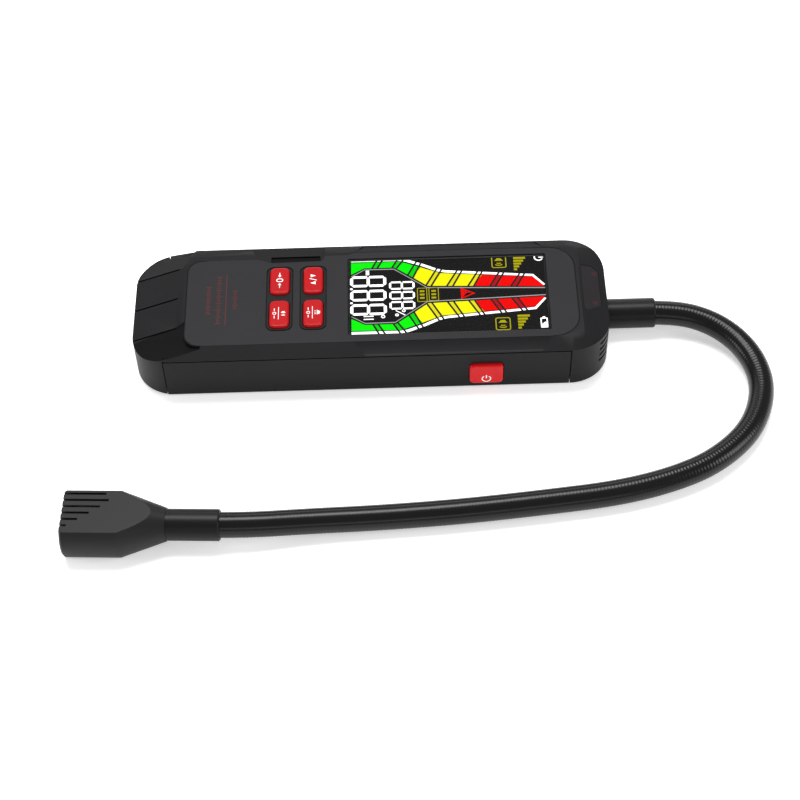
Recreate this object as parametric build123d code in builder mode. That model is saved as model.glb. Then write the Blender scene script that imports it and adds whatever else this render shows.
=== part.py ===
from build123d import *
import os
from math import atan2, cos, degrees, radians, sin, tan

os.makedirs("parts", exist_ok=True)

# Hand-held gas leak detector lying on its back, in millimetres
# Origin: bottom centre of the body. X runs to the gooseneck, Y away from the power key, Z up

# Body sizes
body_length = 172.0
body_width = 53.0
body_height = 21.2
corner_radius = 14.5
wall = 2.0
floor_wall = 2.0
top_wall = 2.2
rim_chamfer_drop = 2.1
rim_chamfer_inset = 5.1
bottom_round = 0.8
slide_fit = 0.1
key_fit = 0.25
half_length = body_length / 2
half_width = body_width / 2
flat_half_width = half_width - rim_chamfer_inset

# Split between the front cover, whose ends reach down to the table, and the rear cover
left_seam_x = 11.5 - half_length
right_seam_x = half_length - 14.5
seam_gap = 0.35
parting_gap = 0.5
parting_land = 0.3
lip_depth = 2.9
lip_width = 1.8
tongue_width = 30.0
tongue_thickness = 1.2
tongue_reach = 4.0
tongue_root = 2.0

# Sloping tail with its riser, and sloping nose
riser_drop = 1.2
riser_top_x = 19.0 - half_length
riser_foot_x = 15.7 - half_length
tail_end_height = body_height - 4.8
tail_groove_pitch = 14.2
tail_groove_slant = 2.3
tail_groove_width = 0.7
tail_groove_depth = 0.6
nose_step_x = half_length - 9.7
nose_step = 0.2
nose_end_height = body_height - 2.9

# Face panel with its two key islands and the display opening
panel_thickness = 0.8
panel_left = 19.2 - half_length
panel_right = half_length - 10.9
panel_near = 0.1 - flat_half_width
panel_far = flat_half_width - 0.2
panel_far_grip = flat_half_width - 2.1
panel_left_round = 5.5
panel_right_round = 9.4
island_width = 9.8
island_length = 30.6
island_round = 2.7
island_line = 0.4
island_columns = (-32.8, -20.6)
display_left = -8.1
display_right = half_length - 21.3
display_half_width = flat_half_width - 3.1
display_round = 0.8

# Notch in the far rim, and the steeper rim facets beside the display
notch_left = -41.5
notch_right = -17.0
notch_near = flat_half_width - 3.3
notch_far = flat_half_width - 0.4
notch_depth = 1.8
facet_left = -5.8
facet_right = half_length - 21.3
facet_slant = 4.6
facet_foot_inset = 1.1

# Face keys
key_width = 7.2
key_length = 12.8
key_round = 2.2
key_top_round = 0.9
key_proud = 1.0
key_row_offset = 7.9
key_flange_margin = 0.6
key_flange_thickness = 1.2
key_flange_gap = 0.1
key_travel = 0.8
key_end_gap = 0.25

# Power key in the near side wall
power_x = 41.1
power_width = 12.1
power_round = 1.8
power_proud = 1.2
power_travel = 0.8

# Vents at the near nose corner
vent_count = 4
vent_height = 1.3
vent_length = 5.8
vent_first_z = 7.2
vent_pitch = (nose_end_height - vent_first_z - 1.8) / (vent_count - 1)
vent_angle = -32.0

# Alarm light in the nose
lens_left = half_length - 8.7
lens_right = half_length - 2.1
lens_far = 12.5
lens_near = -9.0
lens_far_cut = 2.3
lens_near_cut = 3.0
lens_thickness = 2.0
lens_flange = 1.0
lens_flange_thickness = 0.8
lens_flange_inset = 1.4
lens_fit = 0.12
alarm_board_thickness = 1.0
alarm_board_drop = 3.4
alarm_shelf_depth = 1.8
alarm_shelf_thickness = 1.2
alarm_led_x = half_length - 4.4
alarm_led_far_y = 8.6
alarm_led_near_y = -5.1
alarm_led_size = 3.0
alarm_led_height = 1.4

# Electronics
board_thickness = 1.6
board_left = 25.0 - half_length
board_right = half_length - 22.6
board_width = body_width - 12.0
board_round = 1.5
switch_size = 6.0
switch_base_height = 2.2
switch_plunger_radius = 1.7
window_thickness = 0.5
window_sink = 0.1
window_fit = 0.15
gasket_thickness = 0.2
gasket_width = 0.6
display_glass_thickness = 2.0
display_glass_margin = 0.5
display_frame_wall = 1.6
buzzer_radius = 6.0
buzzer_height = 7.2
buzzer_x = 22.0
buzzer_y = 9.0
battery_length = half_length - 24.0
battery_width = board_width - 5.0
battery_gap = 2.0
battery_x = -24.0
battery_round = 2.5
pad_thickness = 0.8
tray_rib = 1.2
tray_rib_height = 4.0
tray_fit = 0.3
charge_x = -29.0
charge_width = 9.0
charge_height = 3.2
charge_depth = 6.0
charge_opening_margin = 0.35
climate_board_length = 7.0
climate_board_height = 9.0
climate_board_thickness = 1.0
climate_chip = 3.0
climate_chip_height = 1.0

# Screws
housing_boss_radius = 2.45
housing_boss_x = (19.5 - half_length, half_length - 18.0)
housing_boss_y = half_width - 10.0
pillar_radius = 3.0
pillar_height = 5.0
screw_head_radius = 2.3
screw_head_height = 1.6
screw_seat = 2.6
screw_shank_radius = 1.3
screw_length = 9.5
screw_fit = 0.12
board_post_radius = 2.1
board_post_x = (28.5 - half_length, -12.4)
board_post_y = half_width - 8.9
board_screw_radius = 0.95
board_screw_length = 4.0
board_screw_head_radius = 1.9
board_screw_head_height = 1.0

# Gooseneck, its end fittings and sleeves
neck_radius = 4.5
neck_z = 7.2
neck_floor_z = neck_radius + 0.05
sleeve_radius = 5.5
sleeve_length = 18.3
sleeve_end_round = 0.7
sleeve_overlap = 4.8
fitting_radius = neck_radius
stub_radius = 3.2
stub_length = 9.0
nut_across_flats = 9.2
nut_thickness = 3.4

# Sensor head, lying flat at the far end of the gooseneck
head_rear_x = -70.6
head_rear_y = -88.3
head_turn = 2.6
head_length = 34.9
head_taper_length = 15.4
head_radius = 11.4
head_rear_radius = 5.8
head_height = 15.0
head_front_round = 0.7
head_wall = 1.6
head_slot_width = 0.85
head_slot_pitch = 2.6
head_slot_first = -9.9
head_slot_lengths = (13.2, 14.5, 15.6, 12.9, 9.4, 5.8, 2.3)
head_slot_foot = 3.0
head_boss_radius = 2.0
head_boss_x = 15.2
head_boss_y = 6.4
head_screw_radius = 0.8
head_screw_head_radius = 1.5
head_screw_head_height = 1.2
head_screw_length = 6.0
sensor_radius = 4.6
sensor_height = 7.8
sensor_rim = 0.5
sensor_board_x = 22.0
sensor_board_thickness = 1.2
sensor_board_width = 15.0
sensor_board_fit = 0.1

# Heights that follow from the sizes above
rim_bottom = body_height - rim_chamfer_drop
front_skirt_bottom = rim_bottom - parting_land
rear_wall_top = front_skirt_bottom - parting_gap
panel_bottom = body_height - panel_thickness
ceiling = panel_bottom - top_wall
board_bottom = ceiling - 6.8
board_top = board_bottom + board_thickness
battery_bottom = floor_wall + pad_thickness
battery_height = board_bottom - battery_gap - battery_bottom
switch_top = ceiling - key_flange_gap - key_flange_thickness - key_travel - key_end_gap
seam_middle_x = (left_seam_x + right_seam_x) / 2
seam_span = right_seam_x - left_seam_x

# Power key, between the floor and the lips of the front cover
lip_bottom = front_skirt_bottom - lip_depth
power_height = lip_bottom - floor_wall - 3.8
power_z = (floor_wall + lip_bottom) / 2 - 0.9

# Heights of the alarm light's board
alarm_board_top = nose_end_height - alarm_board_drop - lens_flange_thickness
alarm_board_bottom = alarm_board_top - alarm_board_thickness

# Slopes of the tail and the nose
riser_foot_height = body_height - riser_drop
tail_slope = (riser_foot_height - tail_end_height) / (riser_foot_x + half_length)
nose_top = body_height - nose_step
nose_slope = (nose_top - nose_end_height) / (half_length - nose_step_x)
tail_angle = degrees(atan2(riser_foot_height - tail_end_height, riser_foot_x + half_length))
nose_angle = degrees(atan2(nose_top - nose_end_height, half_length - nose_step_x))
tail_plane = Plane(
    origin=(riser_foot_x, 0, riser_foot_height),
    x_dir=(cos(radians(tail_angle)), 0, sin(radians(tail_angle))),
    z_dir=(-sin(radians(tail_angle)), 0, cos(radians(tail_angle))),
)
nose_plane = Plane(
    origin=(nose_step_x, 0, nose_top),
    x_dir=(cos(radians(nose_angle)), 0, -sin(radians(nose_angle))),
    z_dir=(sin(radians(nose_angle)), 0, cos(radians(nose_angle))),
)


def save(part, label):
    """Labels a finished piece and writes its file."""
    part.label = label
    export_step(part, "parts/" + label + ".step")


def island_places():
    """Gives the middle of each key island."""
    return [(x, 0) for x in island_columns]


def key_places():
    """Gives the middle of each face key, column by column, far row first."""
    return [(x, side * key_row_offset) for x in island_columns for side in (1, -1)]


def housing_boss_places():
    """Gives the middle of each housing screw."""
    return [(x, side * housing_boss_y) for x in housing_boss_x for side in (1, -1)]


def board_post_places():
    """Gives the middle of each board screw."""
    return [(x, side * board_post_y) for x in board_post_x for side in (1, -1)]


# Outline of the face panel, with its step beside the notch
display_middle_x = (display_left + display_right) / 2
display_span = display_right - display_left
with BuildSketch() as panel_outline:
    with BuildLine():
        Polyline(
            (panel_left, panel_near),
            (panel_right, panel_near),
            (panel_right, panel_far),
            (facet_left, panel_far),
            (facet_left - 2, panel_far_grip + 1),
            (notch_right + 0.6, panel_far_grip + 1),
            (notch_right, notch_near),
            (notch_left + 4.6, notch_near),
            (notch_left, panel_far_grip),
            (panel_left, panel_far_grip),
            close=True,
        )
    make_face()
    left_corners = panel_outline.vertices().group_by(Axis.X)[0]
    fillet(left_corners, panel_left_round)
    right_corners = panel_outline.vertices().group_by(Axis.X)[-1]
    fillet(right_corners, panel_right_round)

# What the tail slope takes away above the tail, leaving the raised end of the face
with BuildPart() as tail_cut:
    with BuildSketch(Plane.XZ):
        with BuildLine():
            Polyline(
                (-half_length - 2, tail_end_height - 2 * tail_slope),
                (riser_foot_x, riser_foot_height),
                (riser_foot_x + 6, riser_foot_height + 6 * tail_slope),
                (riser_foot_x + 6, body_height + 3),
                (-half_length - 2, body_height + 3),
                close=True,
            )
        make_face()
    extrude(amount=half_width + 1, both=True)
    with BuildSketch(Plane.XY.offset(body_height + 0.01)):
        with Locations((riser_top_x, 0)):
            RectangleRounded(60, 2 * flat_half_width, panel_left_round, align=(Align.MIN, Align.CENTER))
    with BuildSketch(Plane.XY.offset(riser_foot_height - 0.4)):
        riser_run = riser_top_x - riser_foot_x
        with Locations((riser_foot_x - riser_run * 0.4 / riser_drop, 0)):
            RectangleRounded(
                60,
                2 * (flat_half_width + 1.5 * riser_run),
                panel_left_round + riser_run,
                align=(Align.MIN, Align.CENTER),
            )
    loft(mode=Mode.SUBTRACT)

# What the nose slope takes away
with BuildPart() as nose_cut:
    with BuildSketch(Plane.XZ):
        with BuildLine():
            Polyline(
                (nose_step_x, body_height + 2),
                (nose_step_x, nose_top),
                (half_length + 2, nose_end_height - 2 * nose_slope),
                (half_length + 2, body_height + 2),
                close=True,
            )
        make_face()
    extrude(amount=half_width + 1, both=True)

# What the two steeper rim facets take away beside the display
facet_foot = half_width - facet_foot_inset
with BuildPart() as facet_cut:
    with BuildSketch(Plane.XY.offset(rim_bottom)):
        with BuildLine():
            Polyline(
                (facet_left, flat_half_width),
                (facet_right, flat_half_width),
                (facet_right - facet_slant, half_width + 1),
                (facet_left + facet_slant, half_width + 1),
                close=True,
            )
        make_face()
    extrude(amount=rim_chamfer_drop + 1)
    facet_plane = Plane(
        origin=(0, flat_half_width, body_height),
        x_dir=(1, 0, 0),
        z_dir=(0, rim_chamfer_drop, facet_foot - flat_half_width),
    )
    split(bisect_by=facet_plane, keep=Keep.TOP)
    mirror(about=Plane.XZ)

# Room inside the front cover
with BuildPart() as cavity:
    with BuildSketch(Plane.XY.offset(floor_wall)):
        RectangleRounded(body_length - 2 * wall, body_width - 2 * wall, corner_radius - wall)
    extrude(amount=ceiling - floor_wall)
    split(bisect_by=tail_plane.offset(-top_wall), keep=Keep.BOTTOM)
    split(bisect_by=nose_plane.offset(-top_wall), keep=Keep.BOTTOM)

# Front cover: the face with its sloping rim, and both ends down to the table
lens_middle_x = (lens_left + lens_right) / 2
with BuildSketch() as lens_outline:
    with BuildLine():
        Polyline(
            (lens_left, lens_far),
            (lens_right - lens_far_cut, lens_far),
            (lens_right, lens_far - lens_far_cut),
            (lens_right, lens_near + lens_near_cut),
            (lens_left + 1, lens_near),
            (lens_left, lens_near + 1),
            close=True,
        )
    make_face()

with BuildPart() as front_cover:
    with BuildSketch():
        RectangleRounded(body_length, body_width, corner_radius)
    extrude(amount=body_height)
    rim_face = front_cover.faces().sort_by(Axis.Z)[-1]
    chamfer(rim_face.edges(), length=rim_chamfer_inset, length2=rim_chamfer_drop, reference=rim_face)
    fillet(front_cover.edges().group_by(Axis.Z)[0], bottom_round)
    add(tail_cut.part, mode=Mode.SUBTRACT)
    add(nose_cut.part, mode=Mode.SUBTRACT)
    add(facet_cut.part, mode=Mode.SUBTRACT)
    add(cavity.part, mode=Mode.SUBTRACT)
    # Bay of the rear cover between the two seams: its floor and its two side walls
    with BuildSketch(Plane.XY.offset(-1)):
        with Locations((seam_middle_x, 0)):
            Rectangle(seam_span, body_width + 2)
    extrude(amount=floor_wall + 1, mode=Mode.SUBTRACT)
    with BuildSketch(Plane.XY.offset(-1)):
        with Locations((seam_middle_x, 0)):
            Rectangle(seam_span, body_width + 2)
            Rectangle(seam_span, body_width - 2 * wall, mode=Mode.SUBTRACT)
    extrude(amount=front_skirt_bottom + 1, mode=Mode.SUBTRACT)
    # Lips that reach down inside the rear cover's walls
    lip_outer = half_width - wall - slide_fit
    with BuildSketch(Plane.XY.offset(lip_bottom)):
        for side in (1, -1):
            with Locations((seam_middle_x, side * (lip_outer - lip_width / 2))):
                Rectangle(seam_span - 2 * wall, lip_width)
    extrude(amount=lip_depth + 0.2)
    # Seat of the face panel
    with BuildSketch(Plane.XY.offset(panel_bottom)):
        add(panel_outline.sketch)
        offset(amount=slide_fit, kind=Kind.INTERSECTION)
        with Locations(*island_places()):
            RectangleRounded(
                island_width - 2 * island_line,
                island_length - 2 * island_line,
                island_round - island_line,
                mode=Mode.SUBTRACT,
            )
    extrude(amount=panel_thickness + 1, mode=Mode.SUBTRACT)
    # Holes of the face keys
    with BuildSketch(Plane.XY.offset(ceiling - 1)):
        with Locations(*key_places()):
            RectangleRounded(key_width + 2 * key_fit, key_length + 2 * key_fit, key_round + key_fit)
    extrude(amount=body_height, mode=Mode.SUBTRACT)
    # Opening of the display
    glass_length = display_span + 2 * display_glass_margin
    glass_width = 2 * (display_half_width + display_glass_margin)
    with BuildSketch(Plane.XY.offset(ceiling - 1)):
        with Locations((display_middle_x, 0)):
            Rectangle(glass_length + 2 * slide_fit, glass_width + 2 * slide_fit)
    extrude(amount=body_height, mode=Mode.SUBTRACT)
    # Notch in the far rim
    with BuildSketch(Plane.XY.offset(body_height - notch_depth)):
        with BuildLine():
            Polyline(
                (notch_left + 1, panel_far_grip + 0.4),
                (notch_left + 4.6, notch_near + slide_fit),
                (notch_right - slide_fit, notch_near + slide_fit),
                (notch_right + 0.6, notch_far),
                (notch_left + 1, notch_far),
                close=True,
            )
        make_face()
    extrude(amount=notch_depth + 1, mode=Mode.SUBTRACT)
    # Grooves along the tail
    with BuildSketch(tail_plane.offset(-tail_groove_depth)):
        for row in (-1, 0, 1):
            with BuildLine():
                Polyline(
                    (0.4, row * tail_groove_pitch + tail_groove_slant + tail_groove_width / 2),
                    (-20, row * tail_groove_pitch - tail_groove_slant / 3 + tail_groove_width / 2),
                    (-20, row * tail_groove_pitch - tail_groove_slant / 3 - tail_groove_width / 2),
                    (0.4, row * tail_groove_pitch + tail_groove_slant - tail_groove_width / 2),
                    close=True,
                )
            make_face()
    extrude(amount=tail_groove_depth + 0.4, mode=Mode.SUBTRACT)
    # Opening of the alarm light, on the slope of the nose
    with BuildSketch(nose_plane.offset(-top_wall - 1)):
        with Locations((-nose_step_x, 0)):
            add(lens_outline.sketch)
        offset(amount=lens_fit, kind=Kind.INTERSECTION)
    extrude(amount=top_wall + 3, mode=Mode.SUBTRACT)
    # Shelf inside the end wall that carries the small board of the alarm light
    with Locations((half_length - wall, (lens_near + lens_far) / 2, alarm_board_bottom)):
        Box(
            2 * alarm_shelf_depth,
            lens_far - lens_near - 4,
            alarm_shelf_thickness,
            align=(Align.CENTER, Align.CENTER, Align.MAX),
        )
    # Vents round the near nose corner
    for level in range(vent_count):
        with Locations(
            Pos(half_length - corner_radius, corner_radius - half_width, vent_first_z + level * vent_pitch)
            * Rot(0, 0, vent_angle)
        ):
            with Locations((corner_radius, 0, 0)):
                Box(3 * wall, vent_length, vent_height, mode=Mode.SUBTRACT)
    # Hole of the gooseneck's stub
    with Locations(Pos(half_length, 0, neck_z) * Rot(0, 90, 0)):
        Hole(stub_radius + slide_fit, depth=2 * wall)
    # Bosses of the housing screws and posts of the board
    with BuildSketch(Plane.XY.offset(pillar_height)):
        with Locations(*housing_boss_places()):
            Circle(housing_boss_radius)
            Circle(screw_shank_radius + screw_fit, mode=Mode.SUBTRACT)
    extrude(amount=ceiling - pillar_height + 0.2)
    with BuildSketch(Plane.XY.offset(board_top)):
        with Locations(*board_post_places()):
            Circle(board_post_radius)
            Circle(board_screw_radius + screw_fit, mode=Mode.SUBTRACT)
    extrude(amount=ceiling - board_top + 0.2)
save(front_cover.part, "front_cover")

# Rear cover: a channel between the seams, with screw pillars and the battery's tray
with BuildPart() as rear_cover:
    with BuildSketch(Plane.YZ.offset(left_seam_x + seam_gap)):
        Rectangle(body_width, rear_wall_top, align=(Align.CENTER, Align.MIN))
    extrude(amount=seam_span - 2 * seam_gap)
    long_edges = rear_cover.edges().filter_by(Axis.X).group_by(Axis.Z)[0]
    fillet(long_edges, bottom_round)
    with BuildSketch(Plane.YZ.offset(left_seam_x)):
        with Locations((0, floor_wall)):
            Rectangle(body_width - 2 * wall, body_height, align=(Align.CENTER, Align.MIN))
    extrude(amount=seam_span, mode=Mode.SUBTRACT)
    # Tongues that lie on the floors of the two end caps
    for end_x, side in ((left_seam_x, -1), (right_seam_x, 1)):
        tongue_middle = end_x + side * (tongue_reach - tongue_root) / 2
        with Locations((tongue_middle, 0, floor_wall + slide_fit)):
            Box(
                tongue_reach + tongue_root,
                tongue_width,
                tongue_thickness,
                align=(Align.CENTER, Align.CENTER, Align.MIN),
            )
        with Locations((end_x - side * (seam_gap + tongue_root), 0, floor_wall - wall / 4)):
            Box(
                2 * tongue_root,
                tongue_width,
                tongue_thickness,
                align=(Align.CENTER, Align.CENTER, Align.MIN),
            )
    # Screw pillars
    with BuildSketch(Plane.XY.offset(floor_wall - 0.5)):
        with Locations(*housing_boss_places()):
            Circle(pillar_radius)
    extrude(amount=pillar_height - floor_wall + 0.5)
    with BuildSketch(Plane.XY.offset(-1)):
        with Locations(*housing_boss_places()):
            Circle(screw_head_radius + 2 * screw_fit)
    extrude(amount=screw_seat + 1, mode=Mode.SUBTRACT)
    with BuildSketch(Plane.XY.offset(-1)):
        with Locations(*housing_boss_places()):
            Circle(screw_shank_radius + screw_fit)
    extrude(amount=body_height, mode=Mode.SUBTRACT)
    # Tray ribs round the battery
    with BuildSketch(Plane.XY.offset(floor_wall - 0.5)):
        with Locations((battery_x, 0)):
            tray_length = battery_length + 2 * tray_fit
            tray_width = battery_width + 2 * tray_fit
            RectangleRounded(tray_length + 2 * tray_rib, tray_width + 2 * tray_rib, battery_round + tray_rib)
            RectangleRounded(tray_length, tray_width, battery_round, mode=Mode.SUBTRACT)
    extrude(amount=tray_rib_height + 0.5)
    # Opening of the power key
    with BuildSketch(Plane.XZ.offset(half_width + 1)):
        with Locations((power_x, power_z)):
            RectangleRounded(power_width + 2 * key_fit, power_height + 2 * key_fit, power_round + key_fit)
    extrude(amount=-wall - 2, mode=Mode.SUBTRACT)
    # Opening of the charge socket in the far wall
    charge_z = board_bottom - charge_height / 2
    with BuildSketch(Plane.XZ.offset(-half_width - 1)):
        with Locations((charge_x, charge_z)):
            SlotOverall(
                charge_width + 2 * charge_opening_margin,
                charge_height + 2 * charge_opening_margin,
            )
    extrude(amount=wall + 2, mode=Mode.SUBTRACT)
save(rear_cover.part, "rear_cover")

# Face panel: a thin plate with the openings of the islands and the display
with BuildPart() as face_panel:
    with BuildSketch(Plane.XY.offset(panel_bottom)):
        add(panel_outline.sketch)
        with Locations(*island_places()):
            RectangleRounded(island_width, island_length, island_round, mode=Mode.SUBTRACT)
        with Locations((display_middle_x, 0)):
            RectangleRounded(display_span, 2 * display_half_width, display_round, mode=Mode.SUBTRACT)
    extrude(amount=panel_thickness)
save(face_panel.part, "face_panel")

# Display: clear window, foam gasket, glass and the frame that carries it on the board
window_length = display_span - 2 * window_fit
window_width = 2 * (display_half_width - window_fit)
window_top = body_height - window_sink
window_bottom = window_top - window_thickness
glass_top = window_bottom - gasket_thickness
glass_bottom = glass_top - display_glass_thickness
with BuildPart() as display_window:
    with BuildSketch(Plane.XY.offset(window_bottom)):
        with Locations((display_middle_x, 0)):
            RectangleRounded(window_length, window_width, display_round)
    extrude(amount=window_thickness)
save(display_window.part, "display_window")

with BuildPart() as display_gasket:
    with BuildSketch(Plane.XY.offset(glass_top)):
        with Locations((display_middle_x, 0)):
            Rectangle(window_length, window_width)
            Rectangle(window_length - 2 * gasket_width, window_width - 2 * gasket_width, mode=Mode.SUBTRACT)
    extrude(amount=gasket_thickness)
save(display_gasket.part, "display_gasket")

with BuildPart() as display_glass:
    with BuildSketch(Plane.XY.offset(glass_bottom)):
        with Locations((display_middle_x, 0)):
            Rectangle(glass_length, glass_width)
    extrude(amount=display_glass_thickness)
save(display_glass.part, "display_glass")

with BuildPart() as display_frame:
    with BuildSketch(Plane.XY.offset(board_top)):
        with Locations((display_middle_x, 0)):
            Rectangle(glass_length, glass_width)
    extrude(amount=glass_bottom - board_top)
    with BuildSketch(Plane.XY.offset(board_top)):
        with Locations((display_middle_x, 0)):
            Rectangle(glass_length - 2 * display_frame_wall, glass_width - 2 * display_frame_wall)
    extrude(amount=glass_bottom - board_top - display_frame_wall, mode=Mode.SUBTRACT)
save(display_frame.part, "display_frame")

# Face keys: a rounded cap through the face, and a flange that holds it in
key_names = ("key_zero", "key_sound", "key_level", "key_light")
flange_top = ceiling - key_flange_gap
for key_name, place in zip(key_names, key_places()):
    with BuildPart() as face_key:
        with BuildSketch(Plane.XY.offset(flange_top)):
            with Locations(place):
                RectangleRounded(key_width, key_length, key_round)
        extrude(amount=body_height + key_proud - flange_top)
        fillet(face_key.edges().group_by(Axis.Z)[-1], key_top_round)
        with BuildSketch(Plane.XY.offset(flange_top)):
            with Locations(place):
                RectangleRounded(
                    key_width + 2 * (key_fit + key_flange_margin),
                    key_length + 2 * (key_fit + key_flange_margin),
                    key_round,
                )
        extrude(amount=-key_flange_thickness)
    save(face_key.part, key_name)

# Power key: the same form, through the near side wall
power_flange_face = -(half_width - wall - key_flange_gap)
power_plane = Plane(origin=(power_x, power_flange_face, power_z), x_dir=(1, 0, 0), z_dir=(0, -1, 0))
power_cap_depth = half_width + power_proud + power_flange_face
with BuildPart() as power_key:
    with BuildSketch(power_plane):
        RectangleRounded(power_width, power_height, power_round)
    extrude(amount=power_cap_depth)
    fillet(power_key.edges().group_by(Axis.Y)[0], key_top_round)
    with BuildSketch(power_plane):
        RectangleRounded(
            power_width + 2 * (key_fit + key_flange_margin),
            power_height + 2 * (key_fit + key_flange_margin),
            power_round,
        )
    extrude(amount=-key_flange_thickness)
save(power_key.part, "power_key")

# Main board with its screw holes
board_middle_x = (board_left + board_right) / 2
with BuildPart() as main_board:
    with BuildSketch(Plane.XY.offset(board_bottom)):
        with Locations((board_middle_x, 0)):
            RectangleRounded(board_right - board_left, board_width, board_round)
        with Locations(*board_post_places()):
            Circle(board_screw_radius + screw_fit, mode=Mode.SUBTRACT)
    extrude(amount=board_thickness)
save(main_board.part, "main_board")

# Switches under the face keys, one node
with BuildPart() as key_switches:
    with BuildSketch(Plane.XY.offset(board_top)):
        with Locations(*key_places()):
            Rectangle(switch_size, switch_size)
    extrude(amount=switch_base_height)
    with BuildSketch(Plane.XY.offset(board_top)):
        with Locations(*key_places()):
            Circle(switch_plunger_radius)
    extrude(amount=switch_top - board_top)
save(key_switches.part, "key_switches")

# Switch behind the power key, hung under the board's near edge
side_switch_front = power_flange_face + key_flange_thickness + power_travel + key_end_gap
side_switch_depth = 4.0
with BuildPart() as side_switch:
    with Locations((power_x, -board_width / 2 + side_switch_depth / 2, board_bottom)):
        Box(switch_size, side_switch_depth, switch_size, align=(Align.CENTER, Align.CENTER, Align.MAX))
    with BuildSketch(Plane.XZ.offset(-side_switch_front)):
        with Locations((power_x, power_z)):
            Circle(switch_plunger_radius)
    extrude(amount=-(-board_width / 2 + 1 - side_switch_front))
save(side_switch.part, "side_switch")

# Buzzer under the board
with BuildPart() as buzzer:
    with BuildSketch(Plane.XY.offset(board_bottom)):
        with Locations((buzzer_x, buzzer_y)):
            Circle(buzzer_radius)
    extrude(amount=-buzzer_height)
    with BuildSketch(Plane.XY.offset(board_bottom - buzzer_height)):
        with Locations((buzzer_x, buzzer_y)):
            Circle(1.2)
    extrude(amount=1.5, mode=Mode.SUBTRACT)
save(buzzer.part, "buzzer")

# Battery on its foam pad
with BuildPart() as battery_pad:
    with BuildSketch(Plane.XY.offset(floor_wall)):
        with Locations((battery_x, 0)):
            RectangleRounded(battery_length - 4, battery_width - 4, battery_round)
    extrude(amount=pad_thickness)
save(battery_pad.part, "battery_pad")

with BuildPart() as battery_cell:
    with BuildSketch(Plane.XY.offset(battery_bottom)):
        with Locations((battery_x, 0)):
            RectangleRounded(battery_length, battery_width, battery_round)
    extrude(amount=battery_height)
    fillet(battery_cell.edges().filter_by(GeomType.LINE).filter_by(Axis.X), 1.0)
save(battery_cell.part, "battery_cell")

# Charge socket on the board's far edge
charge_front = half_width - wall - slide_fit
with BuildPart() as charge_socket:
    with BuildSketch(Plane.XZ.offset(-charge_front)):
        with Locations((charge_x, charge_z)):
            SlotOverall(charge_width, charge_height)
    extrude(amount=charge_depth)
    with BuildSketch(Plane.XZ.offset(-charge_front)):
        with Locations((charge_x, charge_z)):
            SlotOverall(charge_width - 0.6, charge_height - 0.6)
            Rectangle(charge_width - 2.6, 0.7, mode=Mode.SUBTRACT)
    extrude(amount=charge_depth - 1.5, mode=Mode.SUBTRACT)
save(charge_socket.part, "charge_socket")

# Alarm light: lens flush with the nose, held by a flange inside, over two lamps on a small board
with BuildPart() as alarm_lens:
    with BuildSketch(nose_plane.offset(-top_wall)):
        with Locations((-nose_step_x, 0)):
            add(lens_outline.sketch)
    extrude(amount=top_wall - 0.1)
    with BuildSketch(nose_plane.offset(-top_wall)):
        with Locations((lens_middle_x - nose_step_x, (lens_near + lens_far) / 2)):
            Rectangle(
                lens_right - lens_left - 2 * lens_flange_inset,
                lens_far - lens_near + 2 * lens_flange,
            )
    extrude(amount=-lens_flange_thickness)
save(alarm_lens.part, "alarm_lens")

with BuildPart() as alarm_board:
    with BuildSketch(Plane.XY.offset(alarm_board_top)):
        with Locations((lens_middle_x - 0.2, (lens_near + lens_far) / 2)):
            Rectangle(lens_right - lens_left - 0.4, lens_far - lens_near)
    extrude(amount=-alarm_board_thickness)
save(alarm_board.part, "alarm_board")

with BuildPart() as alarm_leds:
    with BuildSketch(Plane.XY.offset(alarm_board_top)):
        with Locations((alarm_led_x, alarm_led_far_y), (alarm_led_x, alarm_led_near_y)):
            Rectangle(alarm_led_size, alarm_led_size)
    extrude(amount=alarm_led_height)
save(alarm_leds.part, "alarm_leds")

# Temperature and humidity sensor behind the vents
climate_plane = Plane(
    origin=(half_length - corner_radius, corner_radius - half_width, 0),
    x_dir=(cos(radians(vent_angle)), sin(radians(vent_angle)), 0),
    z_dir=(0, 0, 1),
)
climate_radius = corner_radius - wall - 1.6
with BuildPart() as climate_sensor:
    with BuildSketch(climate_plane.offset(floor_wall)):
        with Locations((climate_radius - climate_board_thickness / 2, 0)):
            Rectangle(climate_board_thickness, climate_board_length)
    extrude(amount=climate_board_height)
    with BuildSketch(climate_plane.offset(floor_wall + climate_board_height - climate_chip - 1)):
        with Locations((climate_radius + climate_chip_height / 2, 0)):
            Rectangle(climate_chip_height, climate_chip)
    extrude(amount=climate_chip)
save(climate_sensor.part, "climate_sensor")

# Housing screws and board screws, one node each
with BuildPart() as housing_screws:
    with BuildSketch(Plane.XY.offset(screw_seat)):
        with Locations(*housing_boss_places()):
            Circle(screw_head_radius)
    extrude(amount=-screw_head_height)
    with BuildSketch(Plane.XY.offset(screw_seat)):
        with Locations(*housing_boss_places()):
            Circle(screw_shank_radius)
    extrude(amount=screw_length)
    with BuildSketch(Plane.XY.offset(screw_seat - screw_head_height)):
        with Locations(*housing_boss_places()):
            Rectangle(3.0, 0.6)
            Rectangle(0.6, 3.0)
    extrude(amount=0.8, mode=Mode.SUBTRACT)
save(housing_screws.part, "housing_screws")

with BuildPart() as board_screws:
    with BuildSketch(Plane.XY.offset(board_bottom)):
        with Locations(*board_post_places()):
            Circle(board_screw_head_radius)
    extrude(amount=-board_screw_head_height)
    with BuildSketch(Plane.XY.offset(board_bottom)):
        with Locations(*board_post_places()):
            Circle(board_screw_radius)
    extrude(amount=board_screw_length)
save(board_screws.part, "board_screws")

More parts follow.
